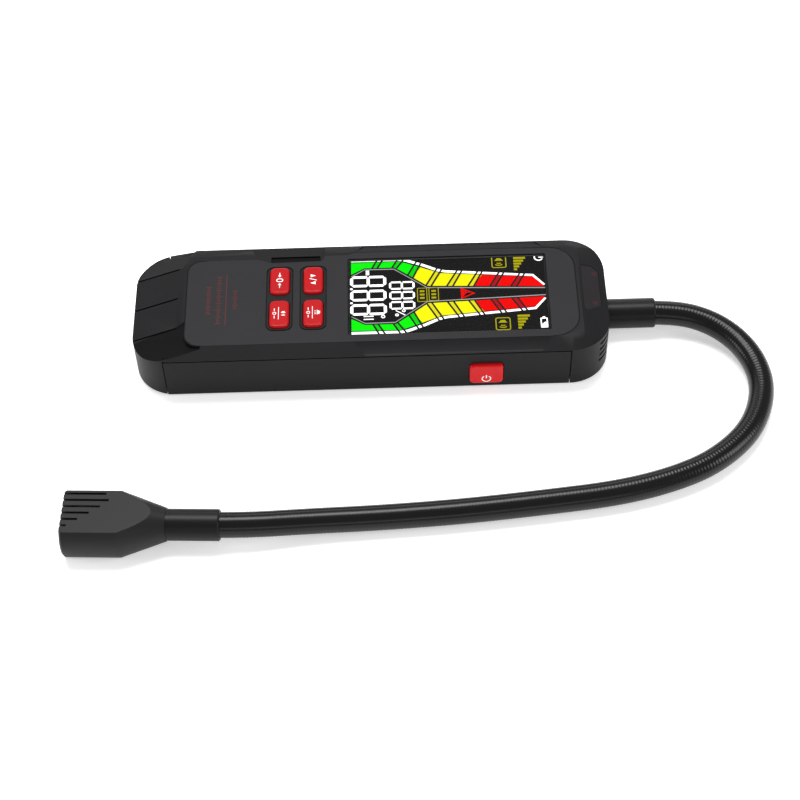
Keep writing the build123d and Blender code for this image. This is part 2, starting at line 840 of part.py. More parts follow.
# Body end of the gooseneck: steel fitting, nut inside the housing, moulded sleeve outside
neck_end_plane = Plane(origin=(half_length, 0, neck_z), x_dir=(0, 1, 0), z_dir=(1, 0, 0))
fitting_length = sleeve_length - sleeve_overlap
with BuildPart() as body_fitting:
    with BuildSketch(neck_end_plane):
        Circle(fitting_radius)
    extrude(amount=fitting_length)
    with BuildSketch(neck_end_plane):
        Circle(stub_radius)
    extrude(amount=-stub_length)
save(body_fitting.part, "body_fitting")

with BuildPart() as neck_nut:
    with BuildSketch(neck_end_plane.offset(-wall - nut_thickness)):
        RegularPolygon(nut_across_flats / 2, 6, major_radius=False)
        Circle(stub_radius + slide_fit, mode=Mode.SUBTRACT)
    extrude(amount=nut_thickness)
save(neck_nut.part, "neck_nut")

with BuildPart() as body_sleeve:
    with BuildSketch(neck_end_plane):
        Circle(sleeve_radius)
        Circle(neck_radius + slide_fit, mode=Mode.SUBTRACT)
    extrude(amount=sleeve_length)
    sleeve_rim = body_sleeve.edges().group_by(Axis.X)[-1].sort_by(SortBy.LENGTH)[-1]
    fillet(sleeve_rim, sleeve_end_round)
save(body_sleeve.part, "body_sleeve")

# Sensor head frame: local X runs from the gooseneck to the front, local Y to the near side
head_frame = Plane(
    origin=(head_rear_x, head_rear_y, head_height / 2),
    x_dir=(-cos(radians(head_turn)), sin(radians(head_turn)), 0),
    z_dir=(0, 0, 1),
)
head_side_plane = Plane(head_frame.origin, x_dir=head_frame.x_dir, z_dir=-head_frame.y_dir)
head_cross_plane = Plane(head_frame.origin, x_dir=head_frame.y_dir, z_dir=head_frame.x_dir)
head_axis = Axis(head_frame.origin, head_frame.x_dir)
head_half = head_height / 2
cone_slope = (head_radius - head_rear_radius) / head_taper_length
head_slots = [
    (head_slot_first + index * head_slot_pitch, length) for index, length in enumerate(head_slot_lengths)
]

# Outer and inner forms of the head, a cone and a barrel with flat top and bottom
head_forms = []
for inset in (0, head_wall):
    rear = inset
    rear_radius = head_rear_radius + rear * cone_slope - inset / cos(atan2(cone_slope, 1))
    taper_end = head_taper_length - inset * tan(atan2(cone_slope, 1) / 2)
    front = head_length - inset
    with BuildPart() as head_form:
        with BuildSketch(head_side_plane):
            with BuildLine():
                Polyline(
                    (rear, 0),
                    (rear, rear_radius),
                    (taper_end, head_radius - inset),
                    (front - head_front_round, head_radius - inset),
                    (front, head_radius - inset - head_front_round),
                    (front, 0),
                    close=True,
                )
            make_face()
        revolve(axis=head_axis)
        split(bisect_by=head_frame.offset(head_half - inset), keep=Keep.BOTTOM)
        split(bisect_by=head_frame.offset(inset - head_half), keep=Keep.TOP)
    head_forms.append(head_form.part)

for shell_name, keep_side, slot_foot in (
    ("head_upper_shell", Keep.TOP, 0),
    ("head_lower_shell", Keep.BOTTOM, head_slot_foot - head_half),
):
    with BuildPart() as head_shell:
        add(head_forms[0])
        add(head_forms[1], mode=Mode.SUBTRACT)
        # Screw bosses
        with BuildSketch(head_frame.offset(-head_half + head_wall / 2)):
            with Locations((head_boss_x, head_boss_y), (head_boss_x, -head_boss_y)):
                Circle(head_boss_radius)
        extrude(amount=head_height - head_wall)
        split(bisect_by=head_frame, keep=keep_side)
        # Hole of the end fitting's stub
        with BuildSketch(head_cross_plane.offset(-1)):
            Circle(stub_radius + slide_fit)
        extrude(amount=head_wall + 1.5, mode=Mode.SUBTRACT)
        # Air slots in the front, and in the top of the upper shell
        with BuildSketch(head_frame.offset(slot_foot)):
            for slot_y, slot_length in head_slots[1:]:
                with Locations((head_length, slot_y)):
                    Rectangle(4, head_slot_width)
        slot_rise = head_half + 1 if keep_side == Keep.TOP else -slot_foot
        extrude(amount=slot_rise, mode=Mode.SUBTRACT)
        if keep_side == Keep.TOP:
            with BuildSketch(head_frame.offset(head_half - head_wall - 1)):
                for slot_y, slot_length in head_slots:
                    with Locations((head_length - slot_length, slot_y)):
                        Rectangle(slot_length + 1, head_slot_width, align=(Align.MIN, Align.CENTER))
            extrude(amount=head_wall + 2, mode=Mode.SUBTRACT)
        # Screw holes
        with BuildSketch(head_frame.offset(-head_half - 1)):
            with Locations((head_boss_x, head_boss_y), (head_boss_x, -head_boss_y)):
                Circle(head_screw_radius + screw_fit)
        extrude(amount=head_height - head_wall, mode=Mode.SUBTRACT)
        if keep_side == Keep.BOTTOM:
            with BuildSketch(head_frame.offset(-head_half - 1)):
                with Locations((head_boss_x, head_boss_y), (head_boss_x, -head_boss_y)):
                    Circle(head_screw_head_radius + screw_fit)
            extrude(amount=head_screw_head_height + 1.3, mode=Mode.SUBTRACT)
    save(head_shell.part, shell_name)

# Screws of the head, from below
head_screw_seat = -head_half + head_screw_head_height + 0.3
with BuildPart() as head_screws:
    with BuildSketch(head_frame.offset(head_screw_seat)):
        with Locations((head_boss_x, head_boss_y), (head_boss_x, -head_boss_y)):
            Circle(head_screw_head_radius)
    extrude(amount=-head_screw_head_height)
    with BuildSketch(head_frame.offset(head_screw_seat)):
        with Locations((head_boss_x, head_boss_y), (head_boss_x, -head_boss_y)):
            Circle(head_screw_radius)
    extrude(amount=head_screw_length)
save(head_screws.part, "head_screws")

# Gas sensor can on its board, facing the slotted front
with BuildPart() as sensor_board:
    with BuildSketch(head_cross_plane.offset(sensor_board_x)):
        Rectangle(sensor_board_width, head_height - 2 * head_wall - 2 * sensor_board_fit)
    extrude(amount=sensor_board_thickness)
save(sensor_board.part, "sensor_board")

with BuildPart() as gas_sensor:
    with BuildSketch(head_cross_plane.offset(sensor_board_x + sensor_board_thickness)):
        Circle(sensor_radius)
    extrude(amount=sensor_height)
    fillet(gas_sensor.edges().group_by(Axis.X)[0], sensor_rim)
    with BuildSketch(head_cross_plane.offset(sensor_board_x + sensor_board_thickness + sensor_height)):
        Circle(sensor_radius - 1.6)
    extrude(amount=-0.4, mode=Mode.SUBTRACT)
save(gas_sensor.part, "gas_sensor")

# Head end of the gooseneck: fitting with a flange held between the shells, and its sleeve
with BuildPart() as head_fitting:
    with BuildSketch(head_cross_plane):
        Circle(fitting_radius)
    extrude(amount=-fitting_length)
    with BuildSketch(head_cross_plane):
        Circle(stub_radius)
    extrude(amount=head_wall + slide_fit)
    with BuildSketch(head_cross_plane.offset(head_wall + slide_fit)):
        Circle(stub_radius + 0.9)
    extrude(amount=1.2)
save(head_fitting.part, "head_fitting")

with BuildPart() as head_sleeve:
    with BuildSketch(head_cross_plane):
        Circle(sleeve_radius)
        Circle(neck_radius + slide_fit, mode=Mode.SUBTRACT)
    extrude(amount=-sleeve_length)
    head_sleeve_rim = head_sleeve.edges().group_by(Axis.X)[-1].sort_by(SortBy.LENGTH)[-1]
    fillet(head_sleeve_rim, sleeve_end_round)
save(head_sleeve.part, "head_sleeve")

# Gooseneck route: straight out of the body, round to the near side, along the table to the head
head_end = head_frame.origin - head_frame.x_dir * fitting_length
head_lead = head_frame.origin - head_frame.x_dir * (fitting_length + 13.0)
neck_route = [
    (half_length + fitting_length, 0, neck_z),
    (half_length + fitting_length + 11.5, 0, neck_z),
    (123.1, -3.6, 6.5),
    (132.9, -11.6, 5.6),
    (138.9, -23.2, 4.9),
    (139.8, -36.4, neck_floor_z),
    (134.2, -51.5, neck_floor_z),
    (123.8, -62.7, neck_floor_z),
    (110.0, -71.2, neck_floor_z),
    (86.9, -78.3, neck_floor_z),
    (55.4, -81.9, neck_floor_z),
    (28.2, -84.5, neck_floor_z),
    (1.0, -86.0, neck_floor_z),
    (-22.0, -87.0, 5.2),
    (head_lead.X, head_lead.Y, head_lead.Z),
    (head_end.X, head_end.Y, head_end.Z),
]


def bend_radii(route):
    """Gives the radius of the arc at each inner point of a route."""
    points = [Vector(*point) for point in route]
    radii = []
    for before, corner, after in zip(points, points[1:], points[2:]):
        first = corner - before
        second = after - corner
        turn = radians(first.get_angle(second))
        radii.append(0.45 * min(first.length, second.length) / tan(turn / 2))
    return radii


neck_radii = bend_radii(neck_route)
print("gooseneck bend radii", [round(radius, 1) for radius in neck_radii])
with BuildPart() as gooseneck:
    with BuildLine() as neck_path:
        FilletPolyline(*neck_route, radius=neck_radii)
    with BuildSketch(neck_end_plane.offset(fitting_length)):
        Circle(neck_radius)
    sweep(path=neck_path.wires()[0])
save(gooseneck.part, "gooseneck")
neck_length = neck_path.wires()[0].length
section_volume = neck_length * 3.141592653589793 * neck_radius**2
print("gooseneck length", round(neck_length, 1), "volume ratio", round(gooseneck.part.volume / section_volume, 4))
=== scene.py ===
"""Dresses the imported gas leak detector: finishes, printed marks, display, gooseneck, light and camera."""

import logging
import math
from dataclasses import dataclass, field
from enum import Enum

import bpy
from mathutils import Matrix, Vector


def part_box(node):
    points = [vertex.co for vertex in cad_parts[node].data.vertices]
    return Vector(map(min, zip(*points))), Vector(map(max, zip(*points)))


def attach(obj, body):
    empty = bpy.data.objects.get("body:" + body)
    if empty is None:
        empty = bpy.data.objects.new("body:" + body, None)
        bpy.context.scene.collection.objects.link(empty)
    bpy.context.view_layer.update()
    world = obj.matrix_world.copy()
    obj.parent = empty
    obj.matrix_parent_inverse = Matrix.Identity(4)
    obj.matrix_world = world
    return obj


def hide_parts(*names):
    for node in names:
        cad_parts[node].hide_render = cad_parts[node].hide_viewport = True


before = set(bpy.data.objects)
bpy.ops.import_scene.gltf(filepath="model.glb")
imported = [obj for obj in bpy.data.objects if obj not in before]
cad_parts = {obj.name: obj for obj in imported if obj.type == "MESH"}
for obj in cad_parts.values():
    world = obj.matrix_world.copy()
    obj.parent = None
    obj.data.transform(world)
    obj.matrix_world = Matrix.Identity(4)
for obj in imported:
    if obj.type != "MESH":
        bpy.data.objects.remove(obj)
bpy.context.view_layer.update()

log = logging.getLogger("detector")
logging.basicConfig(level=logging.INFO, format="%(message)s")

MM = 0.001
MERGE_DISTANCE = 0.002 * MM
PRINT_THICKNESS = 0.04
PRINT_LIFT = 0.02

Point = tuple[float, float]
Outline = list[Point]
Plan = tuple[Point, ...]
Place = tuple[float, float, float]
Colour = tuple[float, float, float]
Piece = bpy.types.Object


# Small helpers


def deselect() -> None:
    """Clears the selection, because an operator acts on all that is selected."""
    bpy.ops.object.select_all(action="DESELECT")


def choose(piece: Piece) -> None:
    """Makes one piece the only selected and active one.

    Args:
        piece: The piece to choose.
    """
    deselect()
    piece.select_set(True)
    bpy.context.view_layer.objects.active = piece


def add(name: str, data: bpy.types.ID) -> Piece:
    """Adds an object with some data to the scene.

    Args:
        name: Name of the object.
        data: Its mesh, curve, light or camera.

    Returns:
        The new object.
    """
    piece = bpy.data.objects.new(name, data)
    bpy.context.collection.objects.link(piece)
    return piece


def settle(piece: Piece, name: str) -> None:
    """Names a piece and puts its place into its mesh.

    Args:
        piece: The object to finish.
        name: The name for the object and its mesh.
    """
    choose(piece)
    bpy.ops.object.transform_apply(location=True, rotation=True, scale=True)
    piece.name = name
    piece.data.name = name


def face_outwards(piece: Piece) -> None:
    """Turns every face of a piece outwards.

    Args:
        piece: A closed piece.
    """
    choose(piece)
    bpy.ops.object.mode_set(mode="EDIT")
    bpy.ops.mesh.select_all(action="SELECT")
    bpy.ops.mesh.normals_make_consistent(inside=False)
    bpy.ops.object.mode_set(mode="OBJECT")


def copy_node(node: str, name: str) -> Piece:
    """Copies a node's mesh into a new piece and merges its loose triangles.

    Args:
        node: Name of the node.
        name: Name of the new piece.

    Returns:
        The new piece, chosen.
    """
    piece = add(name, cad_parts[node].data.copy())
    choose(piece)
    bpy.ops.mesh.customdata_custom_splitnormals_clear()
    bpy.ops.object.mode_set(mode="EDIT")
    bpy.ops.mesh.select_all(action="SELECT")
    bpy.ops.mesh.remove_doubles(threshold=MERGE_DISTANCE)
    bpy.ops.object.mode_set(mode="OBJECT")
    return piece


def arc(centre: Point, radius: float, start: float, end: float, steps: int = 14) -> Outline:
    """Gives points along an arc.

    Args:
        centre: Middle of the arc.
        radius: Its radius.
        start: First angle in degrees.
        end: Last angle in degrees.
        steps: Number of chords.

    Returns:
        The points in order.
    """
    points = []
    for step in range(steps + 1):
        angle = math.radians(start + (end - start) * step / steps)
        points.append((centre[0] + radius * math.cos(angle), centre[1] + radius * math.sin(angle)))
    return points


def ring(centre: Point, radius: float, width: float) -> list[Outline]:
    """Gives a flat ring as an outer and an inner outline."""
    return [arc(centre, radius, 0, 348, 29), arc(centre, radius - width, 0, 348, 29)]


def rounded_box(low: Point, high: Point, radius: float) -> Outline:
    """Gives a rectangle with rounded corners.

    Args:
        low: Lowest corner.
        high: Highest corner.
        radius: Corner radius.

    Returns:
        One closed outline.
    """
    corners = [
        ((high[0] - radius, high[1] - radius), 0),
        ((low[0] + radius, high[1] - radius), 90),
        ((low[0] + radius, low[1] + radius), 180),
        ((high[0] - radius, low[1] + radius), 270),
    ]
    points = []
    for centre, start in corners:
        points += arc(centre, radius, start, start + 90, 5)
    return points


def boxed(low: Point, high: Point, radius: float, width: float) -> list[Outline]:
    """Gives the line of a rounded box.

    Args:
        low: Lowest corner.
        high: Highest corner.
        radius: Outer corner radius.
        width: Width of the line.

    Returns:
        The outer and the inner outline.
    """
    inner_low = (low[0] + width, low[1] + width)
    inner_high = (high[0] - width, high[1] - width)
    return [rounded_box(low, high, radius), rounded_box(inner_low, inner_high, max(radius - width, 0.05))]


def line(start: Point, end: Point, width: float) -> Outline:
    """Gives a straight stroke with square ends.

    Args:
        start: Middle of one end.
        end: Middle of the other end.
        width: Width of the stroke.

    Returns:
        One closed outline.
    """
    along = Vector((end[0] - start[0], end[1] - start[1])).normalized()
    side = Vector((-along.y, along.x)) * width / 2
    return [
        (start[0] + side.x, start[1] + side.y),
        (end[0] + side.x, end[1] + side.y),
        (end[0] - side.x, end[1] - side.y),
        (start[0] - side.x, start[1] - side.y),
    ]


def open_ring(centre: Point, radius: float, width: float, start: float, end: float) -> Outline:
    """Gives a ring with a gap.

    Args:
        centre: Middle of the ring.
        radius: Its outer radius.
        width: Width of the ring.
        start: First angle in degrees.
        end: Last angle in degrees.

    Returns:
        One closed outline.
    """
    outer = arc(centre, radius, start, end, 24)
    inner = arc(centre, radius - width, start, end, 24)
    return outer + inner[::-1]


def mirrored(outline: Outline) -> Outline:
    """Gives the outline on the other side of the long axis."""
    return [(x, -y) for x, y in outline[::-1]]


def speaker(centre: Point, size: float) -> list[Outline]:
    """Gives a loudspeaker sign with two sound waves, read from the far side.

    Args:
        centre: Middle of the sign.
        size: Its size.

    Returns:
        The cone and the two waves as closed outlines.
    """
    x, y = centre
    back, mouth = y + 0.42 * size, y + 0.12 * size
    back_half, mouth_half = 0.16 * size, 0.38 * size
    cone = [(x - back_half, back), (x + back_half, back), (x + mouth_half, mouth), (x - mouth_half, mouth)]
    waves = [open_ring((x, mouth), share * size, 0.1 * size, -125, -55) for share in (0.36, 0.58)]
    return [cone, *waves]


# Finishes


@dataclass(frozen=True)
class Finish:
    """One procedural finish, whose grain and patches are given in waves to the metre."""

    name: str
    colour: Colour
    shade: Colour
    roughness: tuple[float, float]
    grain: float = 2600.0
    relief: float = 0.12
    patches: float = 45.0
    metallic: float = 0.0
    specular: float = 0.5
    coat: float = 0.0
    coat_roughness: float = 0.1
    alpha: float = 1.0
    glow: float = 0.0
    stretch: Place = (1.0, 1.0, 1.0)
    bump_depth: float = 0.1 * MM

    def material(self) -> bpy.types.Material:
        """Builds the material once and returns it on every later call.

        Returns:
            The material of this finish.
        """
        known = bpy.data.materials.get(self.name)
        if known:
            return known
        material = bpy.data.materials.new(self.name)
        material.use_nodes = True
        tree = material.node_tree
        shader = tree.nodes["Principled BSDF"]
        uniform = {"Metallic": self.metallic, "Specular IOR Level": self.specular, "Coat Weight": self.coat}
        uniform |= {"Coat Roughness": self.coat_roughness, "Alpha": self.alpha}
        for scalar, value in uniform.items():
            shader.inputs[scalar].default_value = value
        place = tree.nodes.new("ShaderNodeTexCoord")
        stretch = tree.nodes.new("ShaderNodeMapping")
        stretch.inputs["Scale"].default_value = self.stretch
        tree.links.new(place.outputs["Object"], stretch.inputs["Vector"])
        patches = self._noise(tree, place.outputs["Object"], self.patches, 3.0)
        mix = tree.nodes.new("ShaderNodeMix")
        mix.data_type = "RGBA"
        mix.inputs["A"].default_value = (*self.colour, 1)
        mix.inputs["B"].default_value = (*self.shade, 1)
        tree.links.new(patches, mix.inputs["Factor"])
        colour = [socket for socket in mix.outputs if socket.type == "RGBA"][0]
        tree.links.new(colour, shader.inputs["Base Color"])
        if self.glow:
            shader.inputs["Emission Strength"].default_value = self.glow
            tree.links.new(colour, shader.inputs["Emission Color"])
        grain = self._noise(tree, stretch.outputs["Vector"], self.grain, 2.0)
        spread = tree.nodes.new("ShaderNodeMapRange")
        spread.inputs["To Min"].default_value = self.roughness[0]
        spread.inputs["To Max"].default_value = self.roughness[1]
        tree.links.new(grain, spread.inputs["Value"])
        tree.links.new(spread.outputs["Result"], shader.inputs["Roughness"])
        bump = tree.nodes.new("ShaderNodeBump")
        bump.inputs["Strength"].default_value = self.relief
        bump.inputs["Distance"].default_value = self.bump_depth
        tree.links.new(grain, bump.inputs["Height"])
        tree.links.new(bump.outputs["Normal"], shader.inputs["Normal"])
        return material

    def _noise(
        self, tree: bpy.types.NodeTree, vector: bpy.types.NodeSocket, scale: float, detail: float
    ) -> bpy.types.NodeSocket:
        """Adds a noise pattern and returns its grey output.

        Args:
            tree: The node tree of the material.
            vector: The socket that gives the place.
            scale: Waves to the metre.
            detail: How much finer the finest wave is.

        Returns:
            The socket with the pattern.
        """
        noise = tree.nodes.new("ShaderNodeTexNoise")
        noise.inputs["Scale"].default_value = scale
        noise.inputs["Detail"].default_value = detail
        tree.links.new(vector, noise.inputs["Vector"])
        return noise.outputs["Fac"]

    def dress(self, *pieces: Piece) -> None:
        """Gives this finish to every slot of some pieces.

        Args:
            pieces: The pieces to dress.
        """
        material = self.material()
        for piece in pieces:
            if not piece.data.materials:
                piece.data.materials.append(material)
            for index in range(len(piece.data.materials)):
                piece.data.materials[index] = material


BODY = Finish("body_plastic_spark", (0.0068, 0.0068, 0.0076), (0.0096, 0.0096, 0.0107), (0.4, 0.52),
              specular=0.1)
# Near flank of the tail: coarser grain, and a darker colour that is painted shade on the hollow.
FLANK_COARSE_PAINTED_SHADE = Finish("flank_plastic_coarse_painted_shade", (0.0032, 0.0032, 0.0035), (0.0056, 0.0056, 0.0061), (0.55, 0.7),
               relief=0.2, specular=0.05)
# Pocket of the grip recess: a darker colour that is painted shade in the recess.
RECESS_PAINTED_SHADE = Finish("recess_plastic_matt_painted_shade", (0.0042, 0.004, 0.0042), (0.006, 0.0057, 0.006), (0.6, 0.7),
                specular=0.05)
PANEL = Finish("panel_plastic_satin", (0.0128, 0.0126, 0.0142), (0.0158, 0.0156, 0.0174), (0.42, 0.52),
               relief=0.05, specular=0.12)
HEAD = Finish("head_plastic_spark", (0.0075, 0.0075, 0.0082), (0.011, 0.011, 0.012), (0.38, 0.52),
              specular=0.19)
KEY = Finish("key_red_gloss", (0.36, 0.003, 0.005), (0.4, 0.005, 0.008), (0.26, 0.34), relief=0.03,
             specular=0.14, coat=0.04)
POWER_KEY = Finish("power_key_red_gloss", (0.58, 0.004, 0.006), (0.64, 0.006, 0.009), (0.26, 0.34),
                   relief=0.03, specular=0.12, coat=0.03)
NECK = Finish("neck_skin_gloss", (0.004, 0.004, 0.0044), (0.006, 0.006, 0.0065), (0.2, 0.28), grain=900.0,
              relief=0.05, specular=0.22)
SLEEVE = Finish("sleeve_rubber_satin", (0.005, 0.005, 0.0054), (0.0068, 0.0068, 0.0074), (0.32, 0.42),
                relief=0.08, specular=0.16)
LENS = Finish("alarm_lens_dark", (0.0115, 0.0112, 0.0128), (0.0165, 0.0122, 0.0136), (0.2, 0.28),
              relief=0.02, patches=110.0, specular=0.3)
LAMP_GLOW = Finish("lamp_glow_dim", (0.026, 0.0125, 0.0135), (0.034, 0.0135, 0.0145), (0.2, 0.28),
                   relief=0.02, specular=0.3)
LAMP = Finish("lamp_red_resin", (0.35, 0.02, 0.02), (0.45, 0.03, 0.03), (0.3, 0.4))
WINDOW = Finish("display_window_clear", (0.02, 0.02, 0.022), (0.024, 0.024, 0.026), (0.08, 0.12),
                relief=0.0, specular=0.2, alpha=0.02)
GLASS = Finish("display_glass_black", (0.0055, 0.0055, 0.0058), (0.0068, 0.0068, 0.0072), (0.12, 0.16),
               relief=0.01, specular=0.12)
INNER = Finish("inner_plastic_matt", (0.03, 0.03, 0.03), (0.04, 0.04, 0.04), (0.5, 0.6))
FOAM = Finish("foam_black", (0.012, 0.012, 0.012), (0.02, 0.02, 0.02), (0.85, 0.95), relief=0.6,
              grain=1500.0)
BOARD = Finish("board_green", (0.01, 0.075, 0.03), (0.012, 0.1, 0.04), (0.35, 0.45), relief=0.1, coat=0.2)
FOIL = Finish("battery_foil_wrap", (0.45, 0.46, 0.48), (0.55, 0.56, 0.58), (0.3, 0.42), metallic=0.7)
STEEL = Finish("steel_plated", (0.42, 0.42, 0.43), (0.5, 0.5, 0.51), (0.28, 0.4), metallic=1.0,
               stretch=(1.0, 8.0, 1.0))
INK_WHITE = Finish("print_white", (0.82, 0.82, 0.82), (0.88, 0.88, 0.88), (0.4, 0.5), relief=0.02)
INK_BLACK = Finish("print_black", (0.006, 0.006, 0.006), (0.009, 0.009, 0.009), (0.3, 0.4), specular=0.05)
INK_RED = Finish("print_dark_red", (0.1, 0.012, 0.013), (0.13, 0.015, 0.016), (0.4, 0.5), specular=0.12)
FLOOR = Finish("floor_pale", (0.92, 0.92, 0.92), (0.94, 0.94, 0.94), (0.85, 0.95), relief=0.0,
               patches=2.0, glow=0.42)


def lit(name: str, colour: Colour, glow: float = 2.0) -> Finish:
    """Gives the finish of a lit field of the display.

    Args:
        name: Name of the field's finish.
        colour: Its colour.
        glow: Strength of its own light.

    Returns:
        The finish.
    """
    shade = tuple(value * 1.08 for value in colour)
    return Finish(name, colour, shade, (0.2, 0.3), relief=0.01, specular=0.03, glow=glow)


LIT_WHITE = lit("lit_white", (0.47, 0.475, 0.48))
LIT_GREY = lit("lit_grey", (0.12, 0.12, 0.12))
LIT_GREEN = lit("lit_green", (0.0008, 0.28, 0.0008))
LIT_DEEP_GREEN = lit("lit_deep_green", (0.0008, 0.2, 0.0008))
LIT_YELLOW = lit("lit_yellow", (0.28, 0.275, 0.0012))
LIT_DEEP_YELLOW = lit("lit_deep_yellow", (0.235, 0.22, 0.003))
LIT_RED = lit("lit_red", (0.26, 0.0006, 0.0004))
LIT_DEEP_RED = lit("lit_deep_red", (0.13, 0.002, 0.004))
LIT_OLIVE = lit("lit_olive", (0.15, 0.135, 0.001), 1.5)

NODE_FINISHES: dict[Finish, tuple[str, ...]] = {
    HEAD: ("head_upper_shell", "head_lower_shell"),
    KEY: ("key_zero", "key_sound", "key_level", "key_light"),
    POWER_KEY: ("power_key",),
    NECK: ("gooseneck",),
    SLEEVE: ("body_sleeve", "head_sleeve"),
    LENS: ("alarm_lens",),
    LAMP: ("alarm_leds",),
    WINDOW: ("display_window",),
    GLASS: ("display_glass",),
    INNER: ("display_frame", "key_switches", "side_switch", "buzzer"),
    FOAM: ("display_gasket", "battery_pad"),
    BOARD: ("main_board", "alarm_board", "climate_sensor", "sensor_board"),
    FOIL: ("battery_cell",),
    STEEL: (
        "charge_socket", "housing_screws", "board_screws", "body_fitting",
        "neck_nut", "head_fitting", "head_screws", "gas_sensor",
    ),
}


def flat_print(
    name: str, outlines: list[Outline], top: float, finish: Finish, body: str
) -> Piece:
    """Makes a thin printed or lit shape on a level surface.

    Args:
        name: Name of the piece.
        outlines: Closed outlines in millimetres, an inner one being a hole.
        top: Height of the print's upper side in millimetres.
        finish: Its finish.
        body: The body that it rides on.

    Returns:
        The finished piece.
    """
    curve = bpy.data.curves.new(name, "CURVE")
    curve.dimensions = "2D"
    curve.fill_mode = "BOTH"
    curve.extrude = PRINT_THICKNESS / 2 * MM
    for outline in outlines:
        spline = curve.splines.new("POLY")
        spline.points.add(len(outline) - 1)
        for point, (x, y) in zip(spline.points, outline):
            point.co = (x * MM, y * MM, 0, 1)
        spline.use_cyclic_u = True
    choose(add(name, curve))
    bpy.ops.object.convert(target="MESH")
    piece = bpy.context.object
    piece.location.z = (top - PRINT_THICKNESS / 2) * MM
    settle(piece, name)
    finish.dress(piece)
    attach(piece, body)
    log.info("print %s: %d outlines", name, len(outlines))
    return piece


# Housing


@dataclass
class Housing:
    """Copies of the two covers and the panel, with the tail's flanks and the grip recess carved in."""

    far_hinge: tuple[Point, Point] = ((-68.6, 16.7), (-87.0, 14.0))
    far_front: float = -62.8
    far_fall: float = 11.0
    tail_height: float = 20.0
    tail_start: float = -70.3
    tail_slope: float = 0.2293
    hollow_radius: float = 17.0
    hollow_sides: int = 160
    hollow_start: Place = (-64.0, -17.6, -1.7)
    hollow_end: Place = (-87.5, -20.4, -0.35)
    recess: Plan = (
        (-43.2, 28.0), (-43.2, 24.3), (-41.1, 19.2), (-36.2, 17.3),
        (-17.8, 17.6), (-16.4, 20.8), (-16.4, 28.0),
    )
    ledge_height: float = 19.4
    pocket: Plan = ((-36.3, 21.7), (-36.3, 17.3), (-17.8, 17.6), (-18.2, 21.7))
    pocket_floor: float = 18.8
    sharp_angle: float = 28.0

    def build(self) -> None:
        """Carves both covers and the panel, and dresses them."""
        for node, finish in (("front_cover", BODY), ("rear_cover", BODY), ("face_panel", PANEL)):
            piece = copy_node(node, node + "_carved")
            finish.dress(piece)
            if node != "face_panel":
                self._carve(piece, self._flank(), BODY)
                # The hollowed near flank takes the darker finish, whose colour is painted shade.
                self._carve(piece, self._hollow(), FLANK_COARSE_PAINTED_SHADE)
            if node != "rear_cover":
                self._carve(piece, self._prism(self.recess, self.ledge_height), BODY)
                # The pocket takes the darker finish, whose colour is painted shade.
                self._carve(piece, self._prism(self.pocket, self.pocket_floor), RECESS_PAINTED_SHADE)
            choose(piece)
            bpy.ops.object.shade_smooth_by_angle(angle=math.radians(self.sharp_angle))
            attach(piece, "detector")
            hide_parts(node)
            log.info("carved %s", node)

    def _surface(self, x: float) -> float:
        """Gives the height of the sloping tail at a place along the body."""
        return self.tail_height + self.tail_slope * (x - self.tail_start)

    def _flank(self) -> Piece:
        """Makes the wedge that lets the far flank of the tail fall away.

        Returns:
            The cutting wedge.
        """
        deselect()
        bpy.ops.mesh.primitive_cube_add(size=2)
        wedge = bpy.context.object
        fall = math.tan(math.radians(self.far_fall))
        reach, above = 30.0, 5.0
        for vertex in wedge.data.vertices:
            x, hinge = self.far_hinge[0] if vertex.co.x > 0 else self.far_hinge[1]
            y = reach if vertex.co.y > 0 else hinge
            surface = self._surface(x)
            z = surface - (y - hinge) * fall if vertex.co.z < 0 else surface + above
            if vertex.co.x > 0 and vertex.co.y > 0:
                x = self.far_front
            vertex.co = Vector((x, y, z)) * MM
        return wedge

    def _hollow(self) -> Piece:
        """Makes the round bar that hollows the near flank, deepest at the riser.

        Returns:
            The cutting bar.
        """
        ends = []
        for x, y, depth in (self.hollow_start, self.hollow_end):
            ends.append(Vector((x, y, self._surface(x) + depth + self.hollow_radius)) * MM)
        along = ends[1] - ends[0]
        deselect()
        bpy.ops.mesh.primitive_cylinder_add(
            vertices=self.hollow_sides, radius=self.hollow_radius * MM, depth=along.length
        )
        bar = bpy.context.object
        bar.rotation_euler = along.to_track_quat("Z", "Y").to_euler()
        bar.location = (ends[0] + ends[1]) / 2
        settle(bar, "hollow_cutter")
        return bar

    def _prism(self, outline: Plan, floor: float) -> Piece:
        """Makes an upright prism that cuts from one height upwards.

        Args:
            outline: Its plan.
            floor: Height of its underside.

        Returns:
            The cutting prism.
        """
        height = 5.0
        count = len(outline)
        vertices = [Vector((x, y, z)) * MM for z in (floor, floor + height) for x, y in outline]
        faces = [tuple(range(count)), tuple(range(count, 2 * count))]
        faces += [(i, (i + 1) % count, count + (i + 1) % count, count + i) for i in range(count)]
        mesh = bpy.data.meshes.new("recess_cutter")
        mesh.from_pydata(vertices, [], faces)
        return add("recess_cutter", mesh)

    def _carve(self, piece: Piece, cutter: Piece, finish: Finish) -> None:
        """Takes the cutter's volume out of a piece, and removes the cutter.

        Args:
            piece: The piece to carve.
            cutter: The closed shape that is taken away.
            finish: Finish of the new faces.
        """
        finish.dress(cutter)
        face_outwards(cutter)
        choose(piece)
        cut = piece.modifiers.new("carve", "BOOLEAN")
        cut.operation = "DIFFERENCE"
        cut.solver = "EXACT"
        cut.material_mode = "TRANSFER"
        cut.object = cutter
        bpy.ops.object.modifier_apply(modifier=cut.name)
        bpy.data.objects.remove(cutter)


# Display


